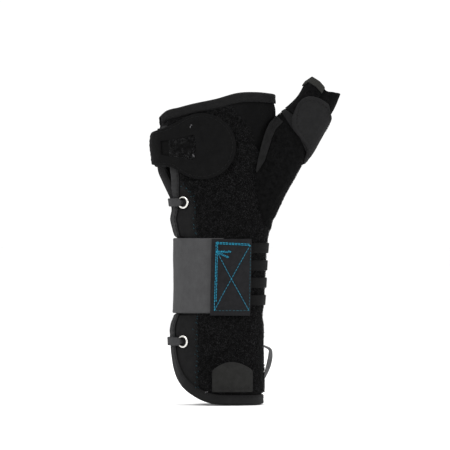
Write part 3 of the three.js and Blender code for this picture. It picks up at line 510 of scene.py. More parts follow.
def soften(path, times, closed=True):
    for _ in range(times):
        if closed:
            path = 0.5 * path + 0.25 * (np.roll(path, 1, 0) + np.roll(path, -1, 0))
        else:
            inner = 0.5 * path[1:-1] + 0.25 * (path[:-2] + path[2:])
            path = np.vstack([path[:1], inner, path[-1:]])
    return path


def inward(path):
    along = unit(np.gradient(path, axis=0))
    return np.stack([-along[:, 1], along[:, 0]], -1)


def inner_line(loop, middle, inset):
    rel = loop - middle
    return middle + rel * (1 - inset / np.linalg.norm(rel, axis=1))[:, None]


def by_turn(loop, middle, count=300):
    """The loop's points at equal turns round a middle, so that two loops match."""
    rel = loop - middle
    turns = np.arctan2(rel[:, 1], rel[:, 0])
    order = np.argsort(turns)
    turns, rel = turns[order], np.tile(rel[order], (3, 1))
    long_turns = np.concatenate([turns - 2 * pi, turns, turns + 2 * pi])
    return middle + path_at(rel, long_turns, np.linspace(-pi, pi, count, endpoint=False))


def soft_copy(node, name, voxel, rounds):
    """A node's own solid with even faces and ironed edges."""
    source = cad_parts[node]
    mesh = source.data.copy()
    mesh.transform(source.matrix_world)
    obj = add_object(name, mesh)
    even = obj.modifiers.new("even", "REMESH")
    even.mode, even.voxel_size = "VOXEL", voxel
    ironed = obj.modifiers.new("soft", "SMOOTH")
    ironed.factor, ironed.iterations = 0.5, rounds
    made = bpy.data.meshes.new_from_object(obj.evaluated_get(bpy.context.evaluated_depsgraph_get()))
    obj.modifiers.clear()
    obj.data = made
    made.polygons.foreach_set("use_smooth", np.ones(len(made.polygons), bool))
    return obj


def fuzz_on(name, base, normal, tall, wide, seed):
    """Short fibres, each a thin closed spindle bent in the middle."""
    r = np.random.default_rng(seed)
    n = len(base)
    first = unit(np.cross(normal, np.where(np.abs(normal[:, 2:]) < 0.9, [[0.0, 0, 1]], [[1.0, 0, 0]])))
    second = np.cross(normal, first)
    turn = r.uniform(0, 2 * pi, (n, 1))
    way = np.cos(turn) * first + np.sin(turn) * second
    beside = np.cos(turn) * second - np.sin(turn) * first
    lean = r.uniform(0.2, 0.9, (n, 1)) * tall
    root = base - normal * 0.15
    middle = base + way * lean * 0.6 + normal * tall * r.uniform(0.35, 0.8, (n, 1))
    tip = base + way * lean * 1.5 + normal * tall * r.uniform(0, 0.7, (n, 1))
    ring = [middle + wide / 2 * (beside * cos(t) + normal * sin(t))
            for t in np.radians([90, 210, 330])]
    points = np.stack([root, *ring, tip], 1).reshape(-1, 3)
    sides = np.array([[0, 2, 1], [0, 3, 2], [0, 1, 3], [4, 1, 2], [4, 2, 3], [4, 3, 1]])
    faces = (np.arange(n)[:, None, None] * 5 + sides).reshape(-1, 3)
    return make(name, points, [faces])


# Wrap with its hole for the thumb

def edge_path(share, height):
    return pair(arc_length(share_angle(share, height), height), height)


def wrap_cloth():
    share, row = grid(150, 180)
    height = mix(forearm_edge(share), hand_edge(share), row)
    length = arc_length(share_angle(share, height), height)
    gone = inside_thumb(on_wrap(length, height, 0)) & inside_thumb(on_wrap(length, height, -WALL))
    return laid("wrap_cloth", on_wrap, length, height, -WALL, WALL, keep=~corners(gone).any(-1))


# Pile panel with its tufts

def panel_sides(height):
    """The panel's seam and its thumb side."""
    width = wrap_size(1, height) + wrap_size(2, height)
    seam = front_length(width * panel_side(1, height), height)
    low = np.maximum(seam, edge_length(1, height) + CLEAR)
    return low, arc_length(panel_side(2, height), height)


def pile_cloth():
    column, row = grid(150, 270)

    def share_at(height):
        low, high = panel_sides(height)
        start, end = edge_length(1, height), edge_length(2, height)
        return (mix(low, high, column) - start) / (end - start)
    height = mix(forearm_edge(share_at(-FR * 0.98), CLEAR), hand_edge(share_at(HR * 0.95)) - CLEAR, row)
    length = mix(*panel_sides(height), column)
    hidden = under_sleeve(on_wrap(length, height, PILE_LOW))
    rim = rim_distance(column.shape, 0.75, 0.75)
    rise = soft_rise(PILE, rim, 1.4) + tufts(length, height) * smooth(0, 2, rim)
    return laid("pile_panel_cloth", on_wrap, length, height, PILE_LOW, rise, keep=~corners(hidden).all(-1))


def pile_fuzz():
    r = np.random.default_rng(21)
    count = 32500
    height = r.uniform(-FR + 3, HR, count)
    length = mix(*panel_sides(height), r.uniform(0, 1, count))
    top = PILE_TOP + tufts(length, height)
    base = on_wrap(length, height, top)
    share = np.clip((length - edge_length(1, height)) / GIRTH, 0, 1)
    keep = (height > forearm_edge(share, CLEAR) + 0.3) & (height < hand_edge(share) - CLEAR - 0.3)
    keep &= ~under_sleeve(base)
    normal = unit(on_wrap(length, height, top + 1) - base)
    return fuzz_on("pile_fuzz", base[keep], normal[keep], 0.95, 0.2, 22)


# Edge bindings: a folded ribbed tape

def tape_profile():
    """The folded tape's outline. Columns: in from the cloth's edge, out from its face."""
    turn = np.linspace(pi / 2, -pi / 2, 9)
    middle, half = -WALL / 2, WALL / 2 + TAPE_LOW
    outer = [(-np.cos(t) * (GAP + TAPE), middle + np.sin(t) * (half + TAPE)) for t in turn]
    inner = [(-np.cos(t) * GAP, middle + np.sin(t) * half) for t in turn[::-1]]
    reach = np.linspace(BINDING_WIDTH, 0.4, 6)
    top = [(r, TAPE_TOP + 0.12 * sin(r * 2.2) - 0.25 * exp(-((r - BINDING_WIDTH) / 0.5) ** 2))
           for r in reach]
    low = [(r, -WALL - TAPE_TOP) for r in reach[::-1]]
    back = [(r, -WALL - TAPE_LOW) for r in reach]
    front = [(r, TAPE_LOW) for r in reach[::-1]]
    return np.array(top + outer + low + back + inner + front)


def binding(name, path):
    profile = tape_profile()
    pucker = 0.1 * noise(np.arange(len(path)) * 1.3, np.zeros(len(path)), 3.0, 31)
    spots = path[:, None] + inward(path)[:, None] * profile[:, :1]
    out = profile[:, 1] + pucker[:, None] * np.sign(profile[:, 1] + WALL / 2)
    girth = np.cumsum(np.hypot(*np.gradient(profile, axis=0).T))
    rings = on_wrap(spots[..., 0], spots[..., 1], out)
    return swept(name, rings[None], pair(steps_along(path)[:, None], girth))


def long_edge_path():
    """Down the front edge, round the forearm end and up the back edge."""
    rows, share = np.linspace(0.95, 0, 80), np.linspace(0, 1, 400)
    down = edge_path(0.0, mix(forearm_edge(0.0), hand_edge(0.0), rows))
    under = edge_path(share, forearm_edge(share))
    up = edge_path(1.0, mix(forearm_edge(1.0), hand_edge(1.0), rows[::-1]))
    return soften(resample(np.vstack([down, under[1:-1], up]), 420, closed=False), 3, closed=False)


# Pull band, closure tab and pocket tab

def pull_band():
    column, row = grid(170, 60)
    height = mix(BAND_MIDDLE - BAND_HEIGHT / 2, BAND_MIDDLE + BAND_HEIGHT / 2, row)
    angle = mix(-168, angle_at(front_length(3.0, height), height), column)
    length = arc_length(angle, height)
    low = mix(behind_edge(angle, height) + OVER_LACE, OVER_PILE, smooth(-56, -34, angle))
    rim = np.minimum(row, 1 - row) * BAND_HEIGHT
    rise = soft_rise(BAND, rim) - 0.12 * np.exp(-((rim - 2.2) / 0.4) ** 2)
    ribs = 0.05 * np.sin(length * 2 * pi / 1.6)
    return laid("pull_band_elastic", on_wrap, length, height, low, rise + ribs)


def closure_tab():
    column, row = grid(70, 110)
    height = mix(-27.4, 24.6, row) - column * (1 - row) * 0.2
    length = front_length(mix(-4.6, 20.2, column) + (row - 1) * 1.1, height)
    return soft_plate("closure_tab_webbing", on_wrap, length, height, TAB_LOW, TAB, radius=0.8,
                      texture=lambda u, v: 0.05 * np.sin(v * 2 * pi / 1.3) + 0.06 * noise(u, v, 6, 41))


def pocket_tab():
    left, right = POCKET_X - POCKET_HALF, POCKET_X + POCKET_HALF
    shoulder = POCKET_BOTTOM + POCKET_HEIGHT - POCKET_ARCH
    arch = [(mix(right, left, s), shoulder + POCKET_ARCH * sin(s * pi) ** 0.8)
            for s in np.linspace(0, 1, 25)]
    outline = soften(resample([(left, POCKET_BOTTOM), (right, POCKET_BOTTOM)] + arch, 150), 2)
    return patch("pocket_tab_webbing", on_wrap, on_front(outline), OVER_PILE, TAB,
                 texture=grain((0.07, 5, 42)))


# Hand tab with its window, its hook patch and the strap under it

def hand_arc(radius, start, end, count):
    turn = np.radians(np.linspace(start, end, count))
    return np.stack([CX + radius * np.cos(turn), CZ + radius * np.sin(turn)], -1)


def hand_tab_outline():
    rim = float(arc_length(-92.0, 86.0))
    upper = on_front(np.array([(-12.5, 18.6), (-18.5, 15), (-24.5, 12)]) + [CX, CZ])
    lower = on_front([(CX - 26.0, BAR - BAR_HALF - 0.6), (CX - 19.0, BAR - BAR_HALF - 2.0)])
    neck = np.vstack([upper, [(rim, BAR + BAR_HALF), (rim, BAR - BAR_HALF)], lower])
    return soften(resample(np.vstack([on_front(hand_arc(RADIUS, -126, 108, 60)), neck]), 260), 5)


def hand_window():
    outline = np.array([(0, -5.6), (19, -9.2), (20.4, -7.2), (21, 0), (20.6, 6), (19.5, 7.6), (7, 4.4),
                        (0, 3.8)])
    return soften(resample(on_front(outline + [CX - 25, CZ]), 260), 5)


def window_tuft():
    """The fluffy strap that shows in the window, and its fibres."""
    outline = np.array([(-31.8, -7), (-17.2, -9.9), (-15.2, -8), (-14.4, 0), (-14.8, 6.4), (-16.2, 8.4),
                        (-28, 5.4), (-32.4, 4.6)])
    outline = soften(resample(on_front(outline + [0, CZ]), 200), 4)
    pile = patch("hand_window_pile", on_wrap, outline, STRAP_TOP + 0.05, 0.9, radius=3.5, rings=40,
                 texture=lambda u, v: tufts(u, v) * 1.4 + 0.5 * np.exp(-((v - CZ) / 4.5) ** 2))
    r = np.random.default_rng(91)
    count = 1500
    length = front_length(r.uniform(-32, -15.5, count), CZ)
    height = r.uniform(CZ - 8.5, CZ + 6.5, count)
    base = on_wrap(length, height, STRAP_TOP + 0.7)
    way = on_wrap(length, height, STRAP_TOP + 1.7) - base
    return pile, fuzz_on("hand_window_fuzz", base, way, 1.1, 0.17, 92)


def hand_hooks():
    outline = resample(hand_arc(RADIUS - 2, -72, 72, 40), 120)
    return patch("hand_tab_hooks", on_wrap, on_front(outline), OVER_PILE, STRAP)


def hand_strap():
    column, row = grid(90, 40)
    height = mix(BAR - STRAP_HALF, BAR + STRAP_HALF, row)
    angle = mix(-150, angle_at(front_length(CX - RADIUS * 0.82, height), height), column)
    low = np.maximum(behind_edge(angle, height), mix(GAP, OVER_PILE, smooth(-98, -80, angle)))
    rise = soft_rise(STRAP, np.minimum(row, 1 - row) * 2 * STRAP_HALF)
    return laid("hand_strap_cloth", on_wrap, arc_length(angle, height), height, low, rise)


# Laces, eyelets and the pull loop

def eyelet_place(k):
    height = EYELETS_MIDDLE + (1.5 - k) * EYELETS_PITCH
    return float(edge_length(1, height)) + EYELET_INSETS[k], height


def flat_profile(width, thick):
    """A flat tape's outline with round sides."""
    turn = np.linspace(-pi / 2, pi / 2, 5)
    right = np.stack([width / 2 - thick / 2 + np.cos(turn) * thick / 2, np.sin(turn) * thick / 2], -1)
    return np.vstack([right, right[::-1] * [-1, 1]])


def lace(k):
    start, height = eyelet_place(k)
    # Up through the eyelet and over its rim. Columns: length, out, width
    bend = [(-1.5, -WALL - 0.9, 2.6), (-1.5, 0.3, 2.9), (-1.55, 1.5, 3.4), (-1.9, 2.3, 4.5),
            (-2.6, 2.65, 5.3), (-3.6, 2.65, 5.7)]
    bend = [(start + reach, height, out, width) for reach, out, width in bend]
    # Then round the back to the closure tab
    angle = mix(angle_at(start - 4.6, height), -322, np.linspace(0, 1, 150))
    level = mix(height, 0.6 + (1.5 - k) * 11.8, smooth(-104, -222, angle))
    out = mix(behind_edge(angle, level), OVER_PILE + 0.2, smooth(-238, -254, angle)) + 0.75
    width = mix(5.6, 7.0, smooth(-120, -230, angle))
    rows = np.vstack([bend, np.stack([arc_length(angle, level), level, out, width], -1)])
    rings = []
    for (u, v, out, width), (du, dout) in zip(rows, unit(np.gradient(rows[:, [0, 2]], axis=0))):
        across, thick = flat_profile(width, LACE * 0.95).T
        rings.append(on_wrap(u + dout * thick, v + across, out - du * thick))
    steps = np.concatenate([[0], np.cumsum(np.abs(np.diff(rows[:, [0, 2]], axis=0)).sum(1))])
    uv = pair(steps[:, None], flat_profile(6, LACE)[:, 0])
    return swept(f"lace_{k + 1}_elastic", np.array([rings]), uv)


def eyelet(k):
    u, v = eyelet_place(k)
    origin = on_wrap(u, v, 0)
    out = unit(on_wrap(u, v, 1) - origin)
    side = unit(np.cross(on_wrap(u, v + 1.5, 0) - on_wrap(u, v - 1.5, 0), out))
    up = np.cross(out, side)
    hole, rim, low, top = 2.7, 4.4, 0.7, 1.6
    profile = [(hole, -WALL - GAP), (hole + 0.45, -WALL - GAP), (hole + 0.45, low), (rim - 0.15, low),
               (rim, low + 0.15)]
    profile += [(mix(rim, hole, s), low + 0.15 + (top - low - 0.15) * sin(pi * s) ** 0.55)
                for s in np.linspace(0.04, 0.92, 12)]
    profile = np.array(profile)
    turn = np.linspace(0, 2 * pi, 49)[:-1, None, None]
    rings = origin + profile[:, :1] * (np.cos(turn) * side + np.sin(turn) * up) + profile[:, 1:] * out
    return swept(f"eyelet_{k + 1}_nickel", np.concatenate([rings, rings[:1]])[None], ends=False)


def pull_loop():
    # Columns: share of the length, distance off the pile
    keys = np.array([(0, 0.45), (0.03, 0.55), (0.08, 3.75), (0.16, 5.0), (0.36, 4.7), (0.6, 3.5), (0.82, 1.7),
                     (0.95, 0.55), (1, 0.45)])
    share = np.linspace(0, 1, 80)
    out = OVER_PILE + np.interp(share, *keys.T)
    out = soften(pair(share, out), 5, closed=False)[:, 1]
    height = LOOP_TOP - LOOP_LENGTH * share
    across, thick = flat_profile(LOOP_WIDTH, 0.8).T
    rings = []
    for s, h, o, (dh, do) in zip(share, height, out, unit(pair(np.gradient(height), np.gradient(out)))):
        twist = radians(38) * sin(pi * s) ** 0.8
        along = across * cos(twist) - thick * sin(twist)
        lift = across * sin(twist) + thick * cos(twist)
        rings.append(on_wrap(arc_length(LOOP_ANGLE, h) + along, h + do * lift, o - dh * lift))
    return swept("pull_loop_ribbon", np.array([rings]), pair(LOOP_LENGTH * share[:, None], across))


# Thumb sleeve, its strap and its end

def sleeve_cloth():
    """The sleeve's solid on the exact surface and with a soft grain, and its fibres."""
    sleeve = soft_copy("thumb_sleeve", "thumb_sleeve_cloth", 0.0007, 9)
    mesh = sleeve.data
    spots, normals = np.empty((2, len(mesh.vertices), 3))
    mesh.vertices.foreach_get("co", spots.ravel())
    mesh.vertex_normals.foreach_get("vector", normals.ravel())
    spots *= 1000
    along, across, ahead = thumb_place(spots)
    reach, depth = side_size(thumb_size, across, along), thumb_size(3, along) / 2
    fit = (np.abs(across / reach) ** SQUARE + np.abs(ahead / depth) ** SQUARE) ** (1 / SQUARE)
    spoke = across[:, None] * SIDE - ahead[:, None] * BACK
    shown = smooth(0, 0.4, (normals * spoke).sum(1) / np.linalg.norm(spoke, axis=1))
    shown *= smooth(0.91, 0.95, fit) * smooth(1.06, 1.03, fit) * smooth(0.3, 0.42, along / TL)
    spots += (shown * (1 / fit - 1))[:, None] * spoke
    rough = 0.12 * noise(across + spots[:, 1] * 0.6, along, 1.8, 51)
    rough += 0.1 * noise(across - spots[:, 1], along, 4.5, 52)
    spots += normals * (rough + thumb_relief(spots))[:, None]
    mesh.vertices.foreach_set("co", (spots * 0.001).ravel())
    mesh.update()
    fuzzy = (normals[:, 1] < 0.1) & (along < TL * 0.7) & ((shown > 0.5) | (along < TL * 0.42))
    chosen = np.random.default_rng(77).permutation(np.flatnonzero(fuzzy))[:9500]
    return sleeve, fuzz_on("thumb_sleeve_fuzz", spots[chosen], normals[chosen], 0.6, 0.17, 78)


def strap_edges(turn):
    beside, sides = np.sin(np.radians(turn / DEGREE)), [-1, -0.6, 0.05, 1]
    lower = np.interp(beside, sides, [0.705, 0.672, 0.607, 0.525]) * TL
    return lower, np.interp(beside, sides, [0.733, 0.722, 0.74, 0.755]) * TL


def tab_low(turn, along):
    """The tab lies on the sleeve below the strap, and on the strap above."""
    on_strap = GAP * 2 + STRAP + 0.15 - 1.2 * smooth(13, 21, turn)
    return mix(0.4, on_strap, smooth(-3, 1.5, along - strap_edges(turn)[0]))


def thumb_tab_outline():
    along, across = THUMB_TAB[:, 0] * TL, THUMB_TAB[:, 1] * TW
    # Columns: turn, share of the thumb's length
    side = np.array([(17, 0.815), (24, 0.765), (31, 0.7), (33, 0.62), (33, 0.54), (28, 0.462)]) * [1, TL]
    return soften(resample(np.vstack([pair(thumb_turn(along, across), along), side]), 220), 7)


def thumb_strap():
    column, row = grid(140, 24)
    row, turn = row[:-1], mix(-180, 180, column[:-1]) * DEGREE
    lower, upper = strap_edges(turn)
    # Thinner in the web of the thumb and under the tab
    web = mix(1, 0.55, smooth(-0.75, -1, np.sin(np.radians(turn / DEGREE))))
    rise = soft_rise(STRAP, np.minimum(row, 1 - row) * (upper - lower))
    rise = rise * web * (1 - 0.75 * smooth(12, 20, turn))
    return laid("thumb_strap_cloth", on_thumb, turn, mix(lower, upper, row), THUMB_STRAP_LOW * web, rise,
                around=True)


def cuff_top(turn):
    """How far along the thumb the sleeve's end lies."""
    beside = thumb_section(turn, TL * 0.97, 0)[0]
    return TL * np.interp(beside / TW, [-0.49, -0.45, -0.41, -0.21, -0.05, 0.03],
                          [0.945, 0.965, 0.998, 0.993, 0.977, 0.962])


def seam_at(row):
    """The turn at which the cuff's flap ends."""
    return np.interp(row, [0, 0.5, 0.85, 1],
                     thumb_turn(TL * 0.9, np.array([-0.07, -0.05, -0.01, -0.01]) * TW))


def cuff_flap():
    column, row = grid(80, 60)
    turn = mix(-30.0, seam_at(row), column)
    along = mix(strap_edges(turn)[1] + 0.2, cuff_top(turn), row)
    return soft_plate("thumb_cuff_flap_cloth", on_thumb, turn, along, GAP, PILE,
                      texture=grain((0.08, 2.2, 62)))


def cuff_tape():
    column, row = grid(80, 16)
    turn = mix(-30.0, seam_at(1) - 0.2, column)
    along = cuff_top(turn) - 4.4 + 4.7 * row
    return soft_plate("thumb_cuff_tape", on_thumb, turn, along, GAP * 2 + PILE, TAPE)


# Stitches

def sew(look, slot, name, surface, paths, out, pitch, length, radius, slant=0.0, jitter=0.0):
    """Rows of short threads that dip into the cloth at both ends."""
    places, ways = [], []
    for path in paths:
        steps = steps_along(path)
        spots = np.arange(pitch / 2, steps[-1], pitch)
        places.append(path_at(path, steps, spots))
        ways.append(unit(path_at(path, steps, spots + 0.2) - path_at(path, steps, spots - 0.2)))
    places, ways = np.vstack(places), np.vstack(ways)
    n = len(places)
    places = places + rng.normal(0, 1, (n, 2)) * jitter
    ways = ways * cos(slant) + np.stack([-ways[:, 1], ways[:, 0]], -1) * sin(slant)
    t = np.array([-0.5, -0.34, -0.12, 0.12, 0.34, 0.5])
    lift = np.array([-0.35, 0.08, 0.18, 0.18, 0.08, -0.35]) * (radius / 0.2)
    u, v = [places[:, None, k] + ways[:, None, k] * t * length for k in range(2)]
    level = (out(u, v) if callable(out) else out) + lift
    centre = surface(u, v, level)
    normal = unit(surface(u, v, level + 1) - centre)
    across = unit(np.cross(np.gradient(centre, axis=1), normal))
    turn = np.linspace(0, 2 * pi, 7)[:-1, None]
    ring = np.cos(turn) * across[:, :, None] + np.sin(turn) * normal[:, :, None]
    rings = centre[:, :, None] + radius * ring
    dress(swept(name, rings, np.repeat(places, len(t) * len(turn), 0)), look)


def front_line(points):
    """A straight run between places on the front."""
    return on_front(resample(points, 60, closed=False))


def run(*ends):
    """A straight run between places given in the photo's pixels."""
    return front_line([((x - 219) * PIXEL, (275 - y) * PIXEL) for x, y in ends])


# Looks

LOOKS = {}


def wire(node, inputs):
    """Sets inputs, each to a value or to another node's output."""
    for socket, value in inputs.items():
        if hasattr(value, "links"):
            node.id_data.links.new(value, node.inputs[socket])
        else:
            node.inputs[socket].default_value = value
    return node


def add(tree, kind, inputs=(), **settings):
    node = tree.nodes.new("ShaderNode" + kind)
    for setting, value in settings.items():
        setattr(node, setting, value)
    return wire(node, dict(inputs))


def sum_of(tree, a, b):
    return add(tree, "Math", {0: a, 1: b}, operation="ADD").outputs[0]


def woven(across, along):
    """Fine height of crossing threads, with so many of each."""
    def build(tree, place):
        waves = [add(tree, "TexWave", {"Scale": scale, "Distortion": 0.4, "Detail": 1,
                                       "Vector": place.outputs["UV"]},
                     wave_type="BANDS", bands_direction=way).outputs["Fac"]
                 for way, scale in (("X", across), ("Y", along))]
        return sum_of(tree, *waves)
    return build


def knit(scale):
    """Fine height of small cells and grain."""
    def build(tree, place):
        spot = place.outputs["Object"]
        cell = add(tree, "TexVoronoi", {"Scale": scale, "Vector": spot})
        fine = add(tree, "TexNoise", {"Scale": scale * 1.7, "Detail": 4, "Vector": spot})
        return sum_of(tree, cell.outputs["Distance"], fine.outputs["Fac"])
    return build


def add_look(name, tones, rough, scale, height, sheen, spec, bump=0.3, metal=0.0, fade=None):
    """Two tones mixed by noise, with a fine height.

    fade darkens it along x, painting light and shade that fall from one side: where it starts and ends, in
    metres, and what is left at its end.
    """
    mat = bpy.data.materials.new(name)
    mat.use_nodes = True
    tree = mat.node_tree
    place = add(tree, "TexCoord")
    spot = place.outputs["Object"]
    mixed = add(tree, "TexNoise", {"Scale": scale, "Detail": 8, "Roughness": 0.7, "Vector": spot})
    ramp = add(tree, "ValToRGB", {"Fac": mixed.outputs["Fac"]})
    for stop, position, tone in zip(ramp.color_ramp.elements, (0.35, 0.68), tones):
        stop.position, stop.color = position, (*tone, 1)
    colour = ramp.outputs["Color"]
    if fade:
        start, end, left = fade
        x = add(tree, "SeparateXYZ", {0: spot}).outputs["X"]
        share = add(tree, "MapRange", {"Value": x, "From Min": start, "From Max": end,
                                       "To Min": 1, "To Max": left}).outputs[0]
        colour = add(tree, "VectorMath", {0: colour, "Scale": share}, operation="SCALE").outputs[0]
    relief = add(tree, "Bump", {"Strength": bump, "Distance": 0.0004, "Height": height(tree, place)})
    wire(tree.nodes["Principled BSDF"], {
        "Roughness": rough, "Metallic": metal, "Specular IOR Level": spec, "Sheen Weight": sheen,
        "Sheen Roughness": 0.6, "Sheen Tint": (0.5, 0.5, 0.52, 1), "Base Color": colour,
        "Normal": relief.outputs["Normal"]})
    LOOKS[name] = mat


def grey(low, high, blue=1.03):
    return (low, low, low * blue), (high, high, high * blue)


TAPE_WEAVE, WEBBING, THREAD = woven(520, 900), woven(800, 760), woven(4000, 4000)
# The wrap cloth darkens towards the right: a darker nap on the upper right, with painted side light on the
# left
add_look("padded_cloth", grey(0.006, 0.0095), 0.95, 260, knit(1500), 0.015, 0.04,
         fade=(-0.015, 0.02, 0.32))
add_look("loop_pile", grey(0.001, 0.0045), 1.0, 420, knit(900), 0.01, 0.03, bump=0.6)
# The fibres are lighter than the cloth they stand on: a painted highlight of fibres catching light
for name, low, high, spec in (("pile_fibre", 0.0018, 0.042, 0.05), ("tuft_fibre", 0.006, 0.06, 0.05),
                              ("panel_fibre", 0.001, 0.008, 0.03)):
    add_look(name, grey(low, high), 1.0, 420, knit(3000), 0.01, spec)
add_look("binding_tape", grey(0.0026, 0.006), 0.8, 300, TAPE_WEAVE, 0.015, 0.1)
# The edge tape is the binding tape made lighter: a painted highlight on the front edge, fading away to the
# right
add_look("edge_tape_painted_highlight", grey(0.011, 0.02), 0.8, 300, TAPE_WEAVE, 0.02, 0.12,
         fade=(-0.031, -0.022, 0.34))
add_look("thumb_strap_band", grey(0.005, 0.0085), 0.9, 240, knit(1900), 0.01, 0.06)
add_look("cuff_tape", grey(0.011, 0.018, 0.9), 0.85, 300, TAPE_WEAVE, 0.02, 0.12)
add_look("sleeve_cloth", grey(0.0012, 0.0045), 0.97, 380, knit(1100), 0.01, 0.03, bump=0.5)
add_look("strap_cloth", grey(0.0024, 0.004), 0.9, 240, knit(1900), 0.01, 0.05)
add_look("thumb_strap_cloth", grey(0.0068, 0.0098), 0.9, 240, knit(1900), 0.02, 0.08)
add_look("elastic_band", grey(0.037, 0.046), 0.88, 220, woven(700, 1400), 0.03, 0.12)
# The lace is lighter at the eyelets and darker to the right: painted shade on the strips that run round to
# the closure tab
add_look("lace_elastic", grey(0.026, 0.04), 0.8, 300, woven(900, 900), 0.01, 0.06,
         fade=(-0.024, -0.005, 0.085))
add_look("loop_ribbon", grey(0.022, 0.075), 0.7, 500, woven(1200, 1600), 0.02, 0.2)
add_look("tab_webbing", grey(0.0095, 0.0155, 0.95), 0.82, 260, WEBBING, 0.02, 0.1, bump=0.5)
add_look("closure_webbing", grey(0.0064, 0.0104, 1.12), 0.82, 260, WEBBING, 0.02, 0.1, bump=0.5)
add_look("nickel", ((0.55, 0.54, 0.51), (0.72, 0.71, 0.68)), 0.22, 500, knit(2500), 0, 0.5,
         bump=0.05, metal=1.0)
add_look("blue_thread", ((0, 0.07, 0.13), (0, 0.24, 0.36)), 0.5, 900, THREAD, 0, 0.3)
add_look("teal_thread", ((0, 0.02, 0.03), (0.01, 0.08, 0.11)), 0.6, 900, THREAD, 0, 0.2)
add_look("black_thread", grey(0.003, 0.008), 0.6, 700, THREAD, 0, 0.1)
add_look("pale_thread", grey(0.04, 0.13), 0.6, 900, THREAD, 0, 0.2)

# Pieces, each with its look and the node that it replaces

def dress(piece, look, node=None):
    """The slot has the look's name."""
    piece.data.materials.clear()
    piece.data.materials.append(LOOKS[look])
    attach(piece, "root")
    if node:
        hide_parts(node)


wrap = wrap_cloth()
dress(wrap, "padded_cloth", "wrap")
dress(pile_cloth(), "loop_pile", "pile_panel")
dress(pile_fuzz(), "pile_fibre")
share = np.linspace(1, 0, 150)
hand_path = resample(edge_path(share, hand_edge(share)), 180, closed=False)
long_path = long_edge_path()
dress(binding("hand_end_tape", hand_path), "binding_tape", "hand_end_binding")
dress(binding("long_edge_tape", long_path), "edge_tape_painted_highlight", "long_edge_binding")
dress(pull_band(), "elastic_band", "pull_band")
dress(closure_tab(), "closure_webbing", "closure_tab")
dress(pocket_tab(), "tab_webbing", "pocket_tab")
window = hand_window()
hand_middle = window.mean(0)
hand_loop = by_turn(hand_tab_outline(), hand_middle)
hand_tab = patch("hand_tab_cloth", on_wrap, hand_loop, HAND_TAB_LOW, TAB, inner=by_turn(window, hand_middle),
                 rings=40, radius=1.0, texture=grain((0.10, 9, 43), (0.05, 2.2, 44)))
dress(hand_tab, "strap_cloth", "hand_tab")
window_pile, window_fuzz = window_tuft()
dress(window_pile, "loop_pile")
dress(window_fuzz, "tuft_fibre")
dress(hand_hooks(), "strap_cloth", "hand_tab_hook")
dress(hand_strap(), "strap_cloth", "hand_strap")
for k in range(4):
    dress(lace(k), "lace_elastic", f"lace_{k + 1}")
for k in range(4):
    dress(eyelet(k), "nickel", f"eyelet_{k + 1}")
dress(pull_loop(), "loop_ribbon", "pull_loop")
sleeve, sleeve_fuzz = sleeve_cloth()
dress(sleeve, "sleeve_cloth", "thumb_sleeve")
dress(sleeve_fuzz, "panel_fibre")
thumb_loop = thumb_tab_outline()
thumb_tab = patch("thumb_strap_tab_cloth", on_thumb, thumb_loop, tab_low, STRAP, radius=1.1,
                  texture=grain((0.09, 6, 61)))
dress(thumb_tab, "thumb_strap_cloth", "thumb_strap_tab")
dress(thumb_strap(), "thumb_strap_band", "thumb_strap")
dress(cuff_flap(), "sleeve_cloth", "thumb_cuff_flap")
dress(cuff_tape(), "cuff_tape", "thumb_cuff_binding")
panel_tape = soft_copy("thumb_panel_binding", "thumb_panel_tape", 0.00035, 8)
dress(panel_tape, "binding_tape", "thumb_panel_binding")


# The threads' pitch, length and radius come after the level they lie at
for name, look, lines, thread in (
        ("stitches", "blue_thread",
         [((216.5, 242.2), (247.1, 244.1)), ((216.7, 243.5), (247, 245.4)), ((216.6, 241.8), (215.9, 266)),
          ((217.8, 243), (216.3, 303)), ((215.9, 266), (214.8, 310.2))],
         (1.9, 1.75, 0.25, 0, 0.05)),
        ("cross_stitches", "blue_thread", [((247.1, 244.4), (214.8, 310.2)), ((218, 253), (245.4, 310.2))],
         (2.3, 2.0, 0.17, 0, 0.03)),
        ("side_stitches", "teal_thread", [((247.1, 244.4), (245.4, 310.2)), ((214.8, 310.2), (245.4, 310.2))],
         (2.2, 1.5, 0.18, 0, 0.08)),
        ("bar_tack", "blue_thread", [((216.4, 251.6), (230.5, 251.8)), ((219, 253), (228, 257.5))],
         (0.62, 1.5, 0.2, 1.2, 0.12))):
    sew(look, "tab_webbing", "closure_tab_" + name, on_wrap, [run(*line) for line in lines], TAB_TOP + 0.05,
        *thread)
sew("black_thread", "binding_tape", "tape_stitches", on_wrap,
    [path + inward(path) * (BINDING_WIDTH - 1.1) for path in (hand_path, long_path)], TAPE_TOP + 0.02,
    3.1, 2.3, 0.16)
heights = np.linspace(-FR + 9, HR * 0.52, 220)
cover = pair(panel_sides(heights)[0] + 0.2, heights)
sew("black_thread", "loop_pile", "seam_stitches", on_wrap, [cover, cover - [1.5, 0], cover + [1.3, 0]],
    PILE_TOP - 0.25, 2.6, 2.4, 0.16, slant=0.5, jitter=0.12)
sew("teal_thread", "loop_pile", "seam_specks", on_wrap, [cover - [0.9, 0], cover + [0.6, 0]], PILE_TOP - 0.12,
    3.6, 0.9, 0.12, slant=0.9, jitter=0.6)
